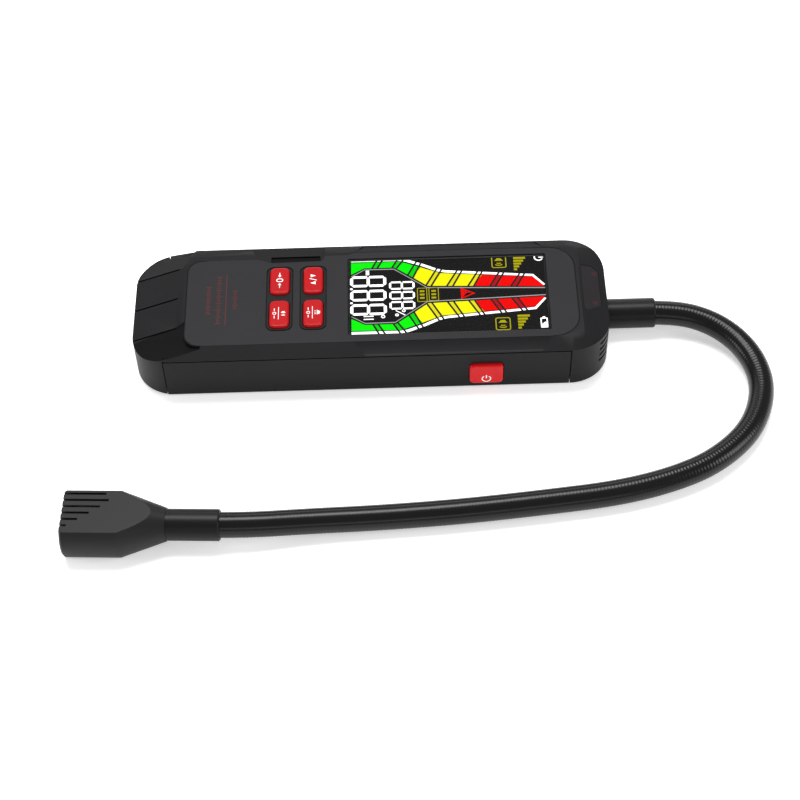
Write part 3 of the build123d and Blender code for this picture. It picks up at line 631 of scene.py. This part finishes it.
@dataclass(frozen=True)
class DigitRow:
    """A row of seven-stroke digits, with their left sides across the display and their foot along it."""

    lefts: tuple[float, ...]
    foot: float
    width: float
    height: float
    stroke: float
    gap: float = 0.17

    def outlines(self) -> list[Outline]:
        """Gives the strokes of every digit, read from the far side.

        Returns:
            Closed outlines, seven to a digit.
        """
        half = self.stroke / 2
        low, mid, high = half, self.height / 2, self.height - half
        near, far = half, self.width - half
        ends = [
            ((near, low), (far, low)), ((near, mid), (far, mid)), ((near, high), (far, high)),
            ((near, low), (near, mid)), ((near, mid), (near, high)),
            ((far, low), (far, mid)), ((far, mid), (far, high)),
        ]
        outlines = []
        for left in self.lefts:
            for (r0, u0), (r1, u1) in ends:
                along = Vector((r1 - r0, u1 - u0)).normalized()
                side = Vector((-along.y, along.x)) * half
                start = Vector((r0, u0)) + along * self.gap
                end = Vector((r1, u1)) - along * self.gap
                shape = [start, start + along * half + side, end - along * half + side, end]
                shape += [end - along * half - side, start + along * half - side]
                outlines.append([(self.foot + p.y, left - p.x) for p in shape])
        return outlines


@dataclass
class Display:
    """The lit content of the display, drawn about the middle line of its picture."""

    middle: float = 0.5
    layer_step: float = 0.03
    line_width: float = 0.66
    cut_overrun: Point = (0.35, 0.7)
    guide_width: float = 0.4
    rows: tuple[DigitRow, ...] = (
        DigitRow((9.75, 3.0, -3.75), -7.2, 5.3, 13.2, 1.1),
        DigitRow((6.7, 1.95, -2.8), 7.0, 3.9, 9.3, 0.76),
    )
    frames: tuple[tuple[Point, Point], ...] = (((17.1, -3.4), (20.8, 3.3)), ((21.3, -3.1), (25.0, 3.3)))
    level: float = field(init=False, default=0.0)
    bar_edge: Plan = (
        (-6.8, 17.9), (11.0, 17.9), (13.6, 17.45), (19.7, 14.9),
        (24.9, 12.3), (27.7, 11.5), (59.8, 8.4), (63.8, 3.4),
    )
    bar_edge_inner: Plan = (
        (-6.8, 16.75), (10.9, 16.8), (13.2, 16.35), (19.3, 13.85),
        (24.6, 11.15), (27.6, 10.45), (59.4, 7.5), (63.2, 3.0),
    )
    bar_outer: Plan = (
        (-6.8, 16.3), (11.2, 16.4), (18.2, 13.5), (25.8, 10.2), (40.5, 8.85), (59.6, 7.2), (63.4, 2.8),
    )
    bar_inner: Plan = (
        (-6.8, 10.65), (-2.0, 13.6), (9.2, 13.6), (15.6, 8.6), (21.0, 4.2), (37.8, 3.55), (63.4, 2.4),
    )
    guide: Plan = ((-6.8, 9.75), (-1.9, 13.05), (8.9, 13.0), (20.8, 3.55), (63.7, 1.9))
    cuts: tuple[tuple[Point, Point], ...] = (
        ((2.8, 17.65), (0.9, 13.4)), ((5.0, 17.75), (2.8, 13.4)),
        ((10.5, 17.75), (8.2, 13.4)), ((12.6, 17.35), (9.9, 13.1)),
        ((17.1, 15.9), (13.8, 9.4)), ((18.7, 15.2), (15.7, 8.1)),
        ((24.6, 12.3), (20.3, 4.0)), ((26.3, 11.8), (22.3, 3.9)),
        ((31.9, 10.9), (28.0, 3.7)), ((33.6, 10.7), (30.2, 3.6)),
        ((39.4, 10.2), (35.7, 3.4)), ((41.0, 10.0), (37.8, 3.3)),
        ((47.2, 9.5), (43.7, 3.1)), ((48.9, 9.3), (45.8, 3.1)),
        ((54.8, 8.8), (51.3, 2.8)), ((56.5, 8.6), (53.5, 2.7)),
    )

    def build(self) -> None:
        """Builds every lit field of the display."""
        self.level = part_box("display_glass")[1].z / MM
        self._bars()
        self._digits()
        self._signs()

    def _lay(self, name: str, outlines: list[Outline], finish: Finish, layer: int = 1) -> None:
        """Lays one lit shape on the glass.

        Args:
            name: Name of the piece.
            outlines: Outlines about the middle line of the picture.
            finish: Its finish.
            layer: Its place in the stack, from 1.
        """
        moved = [[(x, y + self.middle) for x, y in outline] for outline in outlines]
        flat_print(name, moved, self.level + self.layer_step * layer, finish, "detector")

    def _both(self, outline: Outline) -> list[Outline]:
        """Gives an outline and its mirror image."""
        return [outline, mirrored(outline)]

    def _edge_at(self, outline: Plan, x: float) -> float:
        """Gives the height of a broken line at one place along the display.

        Args:
            outline: The broken line.
            x: The place.

        Returns:
            Its height there.
        """
        for (x0, y0), (x1, y1) in zip(outline, outline[1:]):
            if x0 <= x <= x1:
                return y0 + (y1 - y0) * (x - x0) / (x1 - x0)
        return outline[-1][1]

    def _between(self, outline: Plan, start: float, end: float) -> Outline:
        """Gives the part of a broken line between two places along the display.

        Args:
            outline: The broken line.
            start: First place.
            end: Last place.

        Returns:
            The points from the first place to the last.
        """
        inside = [point for point in outline if start < point[0] < end]
        return [(start, self._edge_at(outline, start)), *inside, (end, self._edge_at(outline, end))]

    def _stretch(self, start: tuple[Point, Point], end: tuple[Point, Point]) -> Outline:
        """Gives the part of a bar between two slanted cuts.

        Args:
            start: Outer and inner end of the first cut.
            end: Outer and inner end of the last cut.

        Returns:
            One closed outline.
        """
        outer = self._between(self.bar_outer, start[0][0], end[0][0])
        inner = self._between(self.bar_inner, start[1][0], end[1][0])
        return outer + inner[::-1]

    def _bars(self) -> None:
        """Builds the two mirrored level bars with their white edge and grey guide."""
        first = (self.bar_outer[0], self.bar_inner[0])
        last = (self.bar_outer[-1], self.bar_inner[-1])
        green = self._stretch(first, self.cuts[5])
        yellow = self._stretch(self.cuts[5], self.cuts[11])
        red = self._stretch(self.cuts[11], last)
        self._lay("bar_green", self._both(green), LIT_GREEN)
        self._lay("bar_yellow", self._both(yellow), LIT_YELLOW)
        self._lay("bar_red", self._both(red), LIT_RED)
        self._lay("bar_edge", self._both([*self.bar_edge, *self.bar_edge_inner[::-1]]), LIT_WHITE)
        rim = [(x, y - self.guide_width) for x, y in self.guide]
        self._lay("bar_guide", self._both([*self.guide, *rim[::-1]]), LIT_GREY)
        strokes = []
        for outer, inner in self.cuts:
            lifted = (outer[0] + self.cut_overrun[0], outer[1] + self.cut_overrun[1])
            strokes += self._both(line(lifted, inner, self.line_width))
        self._lay("bar_cuts", strokes, INK_BLACK, 3)
        pairs = list(zip(self.cuts[::2], self.cuts[1::2]))
        tints = [
            ("bar_tint_green", LIT_DEEP_GREEN, pairs[:3]),
            ("bar_tint_yellow", LIT_DEEP_YELLOW, pairs[3:6]),
            ("bar_tint_red", LIT_DEEP_RED, pairs[6:]),
        ]
        for name, finish, share in tints:
            fields = []
            for before, after in share:
                fields += self._both(self._stretch(before, after))
            self._lay(name, fields, finish, 2)

    def _digits(self) -> None:
        """Builds the large and the small row of digits with their small signs."""
        shapes = [outline for row in self.rows for outline in row.outlines()]
        shapes.append(line((-0.8, 12.4), (-0.8, 10.2), 1.2))
        for dot in (3.6, -3.15):
            shapes.append(rounded_box((-7.2, dot - 0.4), (-6.3, dot + 0.4), 0.15))
        shapes += ring((4.6, -9.9), 0.75, 0.35)
        shapes += [line((-2.4, -9.6), (1.2, -9.6), 0.45), line((-2.4, -11.0), (1.2, -11.0), 0.45)]
        shapes += ring((12.1, -7.4), 0.65, 0.32)
        shapes += ring((9.6, -9.3), 0.65, 0.32)
        shapes.append(line((9.2, -7.2), (12.6, -9.5), 0.35))
        self._lay("display_digits", shapes, LIT_WHITE)

    def _signs(self) -> None:
        """Builds the framed signs, the pointer, the clock and the battery sign."""
        olive = []
        for low, high in self.frames:
            olive += boxed(low, high, 0.5, 0.3)
            for bar in (-2.0, -0.4, 1.2):
                olive.append(rounded_box((low[0] + 1.0, bar), (high[0] - 1.0, bar + 0.9), 0.1))
        for side in (1, -1):
            low, high = sorted((side * 11.9, side * 17.9))
            olive += boxed((44.8, low), (50.3, high), 0.9, 0.4)
            olive += speaker((47.5, side * 14.9), 4.2)
            field_low, field_high = sorted((side * 10.0, side * 17.9))
            steps, step_foot, shortest, growth = 5, 52.9, 1.2, 0.8
            for index in range(steps):
                foot = field_low + 0.5 + index * (field_high - field_low - 1) / steps
                reach = step_foot + shortest + growth * index
                olive.append(rounded_box((step_foot, foot), (reach, foot + 1.0), 0.1))
        self._lay("display_signs", olive, LIT_OLIVE)
        self._lay("display_pointer", [[(33.0, 2.8), (38.3, 0.0), (33.0, -2.6)]], LIT_RED)
        sign = [line((34.9, 0.1), (36.9, 0.1), 0.42), line((34.0, 0.1), (34.45, 0.1), 0.42)]
        sign += [line((33.75, 1.75), (36.9, 0.15), 0.16), line((33.75, -1.65), (36.9, -0.05), 0.16)]
        self._lay("display_pointer_sign", sign, INK_BLACK, 2)
        white = [open_ring((62.2, 16.6), 1.75, 0.5, 30, 330), line((62.2, 16.6), (63.9, 16.6), 0.4)]
        white += boxed((61.0, -17.2), (63.6, -12.6), 0.3, 0.45)
        white.append(rounded_box((61.8, -12.6), (62.8, -12.0), 0.1))
        white.append([(61.6, -16.6), (63.0, -16.6), (63.0, -14.4), (61.6, -15.4)])
        self._lay("display_status", white, LIT_WHITE)


# Printed marks on the keys and the panel


class Key(Enum):
    """The keys, by the name of their node."""

    ZERO = "key_zero"
    SOUND = "key_sound"
    LEVEL = "key_level"
    LIGHT = "key_light"
    POWER = "power_key"


@dataclass
class KeyMarks:
    """White signs printed on the key caps, read from the far side."""

    width: float = 0.3
    ring_place: Point = (-1.7, 0.0)
    power_radius: float = 1.75
    power_width: float = 0.42
    power_drop: float = 2.2

    def build(self) -> None:
        """Prints every key."""
        for key, outlines in self._signs().items():
            self._print(key, outlines)
        self._power()

    def _print(self, key: Key, outlines: list[Outline]) -> None:
        """Puts outlines drawn about a key's middle on its cap.

        Args:
            key: The key.
            outlines: Its sign, drawn about the middle of the cap.
        """
        low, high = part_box(key.value)
        x0, y0, top = (low.x + high.x) / 2 / MM, (low.y + high.y) / 2 / MM, high.z / MM + PRINT_LIFT
        moved = [[(x + x0, y + y0) for x, y in outline] for outline in outlines]
        flat_print(key.value + "_mark", moved, top, INK_WHITE, key.value + "_body")

    def _signs(self) -> dict[Key, list[Outline]]:
        """Draws the signs of the face keys, each about the middle of its cap.

        Returns:
            The closed outlines of every sign.
        """
        nought = [rounded_box((-1.25, -0.85), (1.25, 0.85), 0.8)]
        nought.append(rounded_box((-0.92, -0.52), (0.92, 0.52), 0.48))
        arrows = []
        for side in (1, -1):
            arrows.append(line((0, side * 3.6), (0, side * 2.3), self.width))
            arrows.append([(0.62, side * 2.35), (0, side * 1.35), (-0.62, side * 2.35)])
        slash = line((-1.3, 0.45), (1.3, -0.45), self.width)
        rising = [(-0.9, 2.5), (-0.9, 1.0), (1.0, 1.75)]
        falling = [(0.9, -1.0), (0.9, -2.5), (-1.0, -1.75)]
        rule = line((-0.2, 2.9), (-0.2, -2.9), self.width * 0.75)
        lamp = [arc((1.75, 0.0), 0.85, -80, 80), line((1.55, 1.05), (1.55, -1.05), 0.3)]
        rays = [line((0.55, 0.7 - 0.7 * index), (1.0, 0.7 - 0.7 * index), 0.26) for index in range(3)]
        return {
            Key.ZERO: nought + arrows,
            Key.LEVEL: [slash, rising, falling],
            Key.SOUND: [*speaker((1.5, -0.1), 2.3), rule, *self._low_ring()],
            Key.LIGHT: [*lamp, *rays, rule, *self._low_ring()],
        }

    def _low_ring(self) -> list[Outline]:
        """Gives the small second sign of a double key, a ring between two strokes.

        Returns:
            Closed outlines.
        """
        x = self.ring_place[0]
        return [
            *ring(self.ring_place, 0.68, 0.26),
            line((x, 2.3), (x, 1.15), self.width),
            line((x, -1.15), (x, -2.3), self.width),
        ]

    def _power(self) -> None:
        """Prints the stand-by sign on the side key."""
        low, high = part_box(Key.POWER.value)
        outlines = [open_ring((0, 0), self.power_radius, self.power_width, 125, 415)]
        outlines.append(line((0, 0.2), (0, 2.0), self.power_width))
        piece = flat_print("power_key_mark", outlines, 0.0, INK_WHITE, "power_key_body")
        piece.data.transform(Matrix.Rotation(math.radians(90), 4, "X"))
        x, z = (low.x + high.x) / 2, (low.z + high.z) / 2 - self.power_drop * MM
        piece.data.transform(Matrix.Translation((x, low.y - PRINT_LIFT * MM, z)))


@dataclass
class PanelMarks:
    """A thin dark red rule on the panel, left of the keys, with three plain scales of short strokes."""

    rule_place: float = -52.2
    rule_half_length: float = 12.0
    scales: tuple[tuple[float, float, int], ...] = ((-54.9, 11.2, 29), (-58.6, 6.4, 17), (-49.0, 4.2, 11))
    width: float = 0.22
    long_half: float = 1.0
    short_half: float = 0.55
    long_every: int = 4

    def build(self) -> None:
        """Prints the rule and the scales."""
        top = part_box("face_panel")[1].z / MM + PRINT_LIFT
        place, reach = self.rule_place, self.rule_half_length
        shapes = [line((place, reach), (place, -reach), self.width)]
        for middle, half_length, count in self.scales:
            for index in range(count):
                y = half_length - 2 * half_length * index / (count - 1)
                half_stroke = self.short_half if index % self.long_every else self.long_half
                shapes.append(line((middle - half_stroke, y), (middle + half_stroke, y), self.width))
        flat_print("panel_rules", shapes, top, INK_RED, "detector")


# Seams round the panel and the lens


@dataclass
class Seams:
    """The dark seam at both ends of the panel, and the rim and two dim lamp spots of the alarm lens."""

    width: float = 0.26
    inset: float = 0.15
    rim_width: float = 0.32
    lift: float = 0.015
    left_round: float = 5.5
    right_round: float = 9.4
    far_side: Point = (19.3, 21.2)
    left_runs: Point = (2.0, 1.0)
    right_runs: Point = (1.0, 12.0)
    lamp_places: tuple[Point, ...] = ((82.1, 9.0), (81.4, -5.1))
    lamp_radius: float = 1.05
    same_plane: float = 1.0
    least_rise: float = 0.8

    def build(self) -> None:
        """Draws the panel's seam and the lens's rim."""
        self._panel()
        self._lens()

    def _panel(self) -> None:
        """Draws the seam round both ends of the panel."""
        low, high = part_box("face_panel")
        left, right, near = low.x / MM + self.inset, high.x / MM - self.inset, low.y / MM + self.inset
        left_far, right_far = self.far_side[0] - self.inset, self.far_side[1] - self.inset
        first, second = self.left_round - self.inset, self.right_round - self.inset
        left_line = [(left + first + self.left_runs[0], left_far)]
        left_line += arc((left + first, left_far - first), first, 90, 180)
        left_line += arc((left + first, near + first), first, 180, 270)
        left_line.append((left + first + self.left_runs[1], near))
        right_line = [(right - second - self.right_runs[0], near)]
        right_line += arc((right - second, near + second), second, 270, 360)
        right_line += arc((right - second, right_far - second), second, 0, 90)
        right_line.append((right - second - self.right_runs[1], right_far))
        outlines = [self._ribbon(left_line), self._ribbon(right_line)]
        flat_print("panel_seam", outlines, high.z / MM + self.lift, INK_BLACK, "detector")

    def _ribbon(self, points: Outline) -> Outline:
        """Widens an open line to a closed ribbon that narrows to its ends.

        Args:
            points: The line's points in order.

        Returns:
            The closed outline.
        """
        one, other = [], []
        narrow, wide = self.width / 6, self.width / 2
        for index, point in enumerate(points):
            before, after = points[max(index - 1, 0)], points[min(index + 1, len(points) - 1)]
            along = Vector((after[0] - before[0], after[1] - before[1])).normalized()
            half = narrow if index in (0, len(points) - 1) else wide
            side = Vector((-along.y, along.x)) * half
            one.append((point[0] + side.x, point[1] + side.y))
            other.append((point[0] - side.x, point[1] - side.y))
        return one + other[::-1]

    def _lens(self) -> None:
        """Draws the rim along the edge of the lens's upper face, and the two lamp spots on that face."""
        rim = copy_node("alarm_lens", "lens_rim")
        bpy.ops.object.mode_set(mode="EDIT")
        bpy.ops.mesh.dissolve_limited(angle_limit=math.radians(self.same_plane))
        bpy.ops.mesh.select_all(action="DESELECT")
        bpy.ops.object.mode_set(mode="OBJECT")
        upward = [face for face in rim.data.polygons if face.normal.z > self.least_rise]
        top = max(upward, key=lambda face: face.area)
        normal, middle = top.normal.copy(), top.center.copy()
        top.select = True
        bpy.ops.object.mode_set(mode="EDIT")
        bpy.ops.mesh.select_all(action="INVERT")
        bpy.ops.mesh.delete(type="FACE")
        bpy.ops.mesh.select_all(action="SELECT")
        bpy.ops.mesh.inset(thickness=self.rim_width * MM, depth=0)
        bpy.ops.mesh.delete(type="FACE")
        bpy.ops.object.mode_set(mode="OBJECT")
        rim.data.transform(Matrix.Translation(normal * self.lift * MM))
        INK_BLACK.dress(rim)
        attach(rim, "detector")
        log.info("lens_rim: %d faces", len(rim.data.polygons))
        for index, place in enumerate(self.lamp_places):
            self._spot("lamp_spot_%d" % (index + 1), place, middle, normal)

    def _spot(self, name: str, place: Point, middle: Vector, normal: Vector) -> None:
        """Lays one dim lamp spot on the sloping face of the lens.

        Args:
            name: Name of the spot.
            place: Its place in millimetres, seen from above.
            middle: Middle of the face.
            normal: Direction that the face looks in.
        """
        x, y = place[0] * MM, place[1] * MM
        outline = arc((0, 0), self.lamp_radius, 0, 345, 23)
        spot = flat_print(name, [outline], 0.0, LAMP_GLOW, "detector")
        z = middle.z - (normal.x * (x - middle.x) + normal.y * (y - middle.y)) / normal.z
        seat = Matrix.Translation((x, y, z + self.lift * MM))
        spot.data.transform(seat @ normal.to_track_quat("Z", "Y").to_matrix().to_4x4())


# Gooseneck


@dataclass
class Gooseneck:
    """The ribbed neck, a tube of fixed length along one smooth spline."""

    radius: float = 4.5
    rib_pitch: float = 1.2
    rib_depth: float = 0.07
    sides: int = 28
    steps: int = 4
    smoothness: int = 24
    route: list[Place] = field(
        default_factory=lambda: [
            (99.5, 0.0, 7.2), (111.0, 0.0, 7.2), (123.1, -3.6, 6.5), (132.9, -11.6, 5.6),
            (138.9, -23.2, 4.9), (139.8, -36.4, 4.55), (134.2, -51.5, 4.55), (123.8, -62.7, 4.55),
            (110.0, -71.2, 4.55), (86.9, -78.3, 4.55), (55.4, -81.9, 4.55), (28.2, -84.5, 4.55),
            (1.0, -86.0, 4.55), (-22.0, -87.0, 5.2), (-44.1, -89.5, 7.5), (-57.1, -88.91, 7.5),
        ]
    )

    def build(self) -> None:
        line_points = self._line()
        piece = self._tube(self._even(line_points))
        NECK.dress(piece)
        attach(piece, "detector")
        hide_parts("gooseneck")
        riders = ["body_sleeve", "body_fitting", "head_sleeve", "head_fitting", "head_upper_shell"]
        riders += ["head_lower_shell", "head_screws", "sensor_board", "gas_sensor"]

    def _line(self) -> list[Vector]:
        """Reads the points of the neck's smooth line from its spline.

        Returns:
            Points in metres, from the body to the head.
        """
        curve = bpy.data.curves.new("neck_line", "CURVE")
        curve.dimensions = "3D"
        curve.resolution_u = self.smoothness
        spline = curve.splines.new("NURBS")
        spline.points.add(len(self.route) - 1)
        for point, place in zip(spline.points, self.route):
            point.co = (*(value * MM for value in place), 1)
        spline.order_u = 3
        spline.use_endpoint_u = True
        holder = add("neck_line", curve)
        bpy.context.view_layer.update()
        mesh = bpy.data.meshes.new_from_object(holder)
        points = [vertex.co.copy() for vertex in mesh.vertices]
        bpy.data.objects.remove(holder)
        bpy.data.meshes.remove(mesh)
        return points

    def _even(self, points: list[Vector]) -> list[Vector]:
        """Gives points at even steps along the line, a few to each rib.

        Args:
            points: Points of the smooth line.

        Returns:
            The even points.
        """
        marks = [0.0]
        for before, after in zip(points, points[1:]):
            marks.append(marks[-1] + (after - before).length)
        count = round(marks[-1] / (self.rib_pitch * MM)) * self.steps
        even, index = [], 0
        for step in range(count + 1):
            target = marks[-1] * step / count
            while index < len(marks) - 2 and marks[index + 1] < target:
                index += 1
            share = (target - marks[index]) / (marks[index + 1] - marks[index])
            even.append(points[index].lerp(points[index + 1], share))
        return even

    def _tube(self, points: list[Vector]) -> Piece:
        """Skins the line with rings whose radius rises and falls at each rib.

        Args:
            points: Even points along the neck.

        Returns:
            The mesh tube, with its ends closed.
        """
        vertices, faces = [], []
        for index, point in enumerate(points):
            before = points[max(index - 1, 0)]
            after = points[min(index + 1, len(points) - 1)]
            along = (after - before).normalized()
            side = along.cross(Vector((0, 0, 1))).normalized()
            up = side.cross(along)
            groove = self.rib_depth if index % self.steps == 0 else 0.0
            radius = (self.radius - groove) * MM
            for turn in range(self.sides):
                angle = 2 * math.pi * turn / self.sides
                vertices.append(point + (side * math.cos(angle) + up * math.sin(angle)) * radius)
        for ring_index in range(len(points) - 1):
            start = ring_index * self.sides
            for turn in range(self.sides):
                one, two = start + turn, start + (turn + 1) % self.sides
                faces.append((one, one + self.sides, two + self.sides, two))
        faces.append(tuple(range(self.sides)))
        last = (len(points) - 1) * self.sides
        faces.append(tuple(last + turn for turn in reversed(range(self.sides))))
        mesh = bpy.data.meshes.new("neck_tube")
        mesh.from_pydata(vertices, [], faces)
        mesh.update()
        piece = add("neck_tube", mesh)
        face_outwards(piece)
        bpy.ops.object.shade_smooth()
        return piece


# Studio


@dataclass(frozen=True)
class Softbox:
    """One soft light that looks at the middle of the frame."""

    name: str
    place: Place
    size: tuple[float, float]
    power: float

    def hang(self) -> None:
        """Adds the light to the scene."""
        data = bpy.data.lights.new(self.name, "AREA")
        data.shape = "RECTANGLE"
        data.size, data.size_y = self.size
        data.energy = self.power
        light = add(self.name, data)
        light.location = self.place
        light.rotation_euler = (-Vector(self.place)).to_track_quat("-Z", "Y").to_euler()


@dataclass
class Studio:
    """The pale floor, the soft lights and the camera at the photograph's angle."""

    elevation: float = 52.10
    azimuth: float = 0.20
    roll: float = -1.83
    place: Place = (11.26, -454.52, 543.07)
    focal_pixels: float = 1905.98
    image_pixels: float = 800.0
    sensor: float = 36.0
    clip_start: float = 0.01
    floor_size: float = 6.0
    floor_drop: float = 0.0002
    room_strength: float = 0.36
    boxes: tuple[Softbox, ...] = (
        Softbox("light_top", (-0.05, 0.34, 1.1), (0.8, 0.4), 14.0),
        Softbox("light_back", (-0.1, 1.0, 0.5), (1.4, 0.3), 3.0),
        Softbox("light_left", (-1.1, -0.1, 0.3), (0.4, 0.5), 5.0),
        Softbox("light_right", (1.0, -0.3, 0.45), (0.4, 0.5), 4.5),
        Softbox("light_front", (0.1, -1.0, 0.36), (0.9, 0.1), 1.1),
    )

    def camera(self) -> None:
        """Sets the camera from its fitted angles and place."""
        data = bpy.data.cameras.new("photo_camera")
        data.sensor_width = self.sensor
        data.lens = self.focal_pixels * self.sensor / self.image_pixels
        data.clip_start = self.clip_start
        camera = add("photo_camera", data)
        e, a, r = (math.radians(angle) for angle in (self.elevation, self.azimuth, self.roll))
        back = Vector((math.sin(a) * math.cos(e), -math.cos(a) * math.cos(e), math.sin(e)))
        right = Vector((math.cos(a), math.sin(a), 0))
        up = back.cross(right)
        turned_right = right * math.cos(r) + up * math.sin(r)
        turned_up = up * math.cos(r) - right * math.sin(r)
        matrix = Matrix((turned_right, turned_up, back)).transposed().to_4x4()
        matrix.translation = Vector(self.place) * MM
        camera.matrix_world = matrix
        bpy.context.scene.camera = camera

    def floor(self) -> None:
        """Lays the pale floor."""
        deselect()
        bpy.ops.mesh.primitive_plane_add(size=self.floor_size, location=(0, 0, -self.floor_drop))
        floor = bpy.context.object
        settle(floor, "studio_floor")
        FLOOR.dress(floor)

    def lights(self) -> None:
        """Hangs the softboxes and lights the room evenly."""
        for box in self.boxes:
            box.hang()
        world = bpy.data.worlds.new("studio_world")
        bpy.context.scene.world = world
        world.use_nodes = True
        world.node_tree.nodes["Background"].inputs["Color"].default_value = (1, 1, 1, 1)
        world.node_tree.nodes["Background"].inputs["Strength"].default_value = self.room_strength
        bpy.context.scene.view_settings.view_transform = "Standard"


def dress_nodes() -> None:
    """Gives every solid its finish."""
    for finish, names in NODE_FINISHES.items():
        for name in names:
            finish.dress(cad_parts[name])
            log.info("dressed %s with %s", name, finish.name)


def main() -> None:
    """Builds the studio and the pieces in order."""
    studio = Studio()
    studio.camera()
    Gooseneck().build()
    studio.floor()
    studio.lights()
    dress_nodes()
    Housing().build()
    Display().build()
    KeyMarks().build()
    PanelMarks().build()
    Seams().build()


if __name__ == "__main__":
    main()
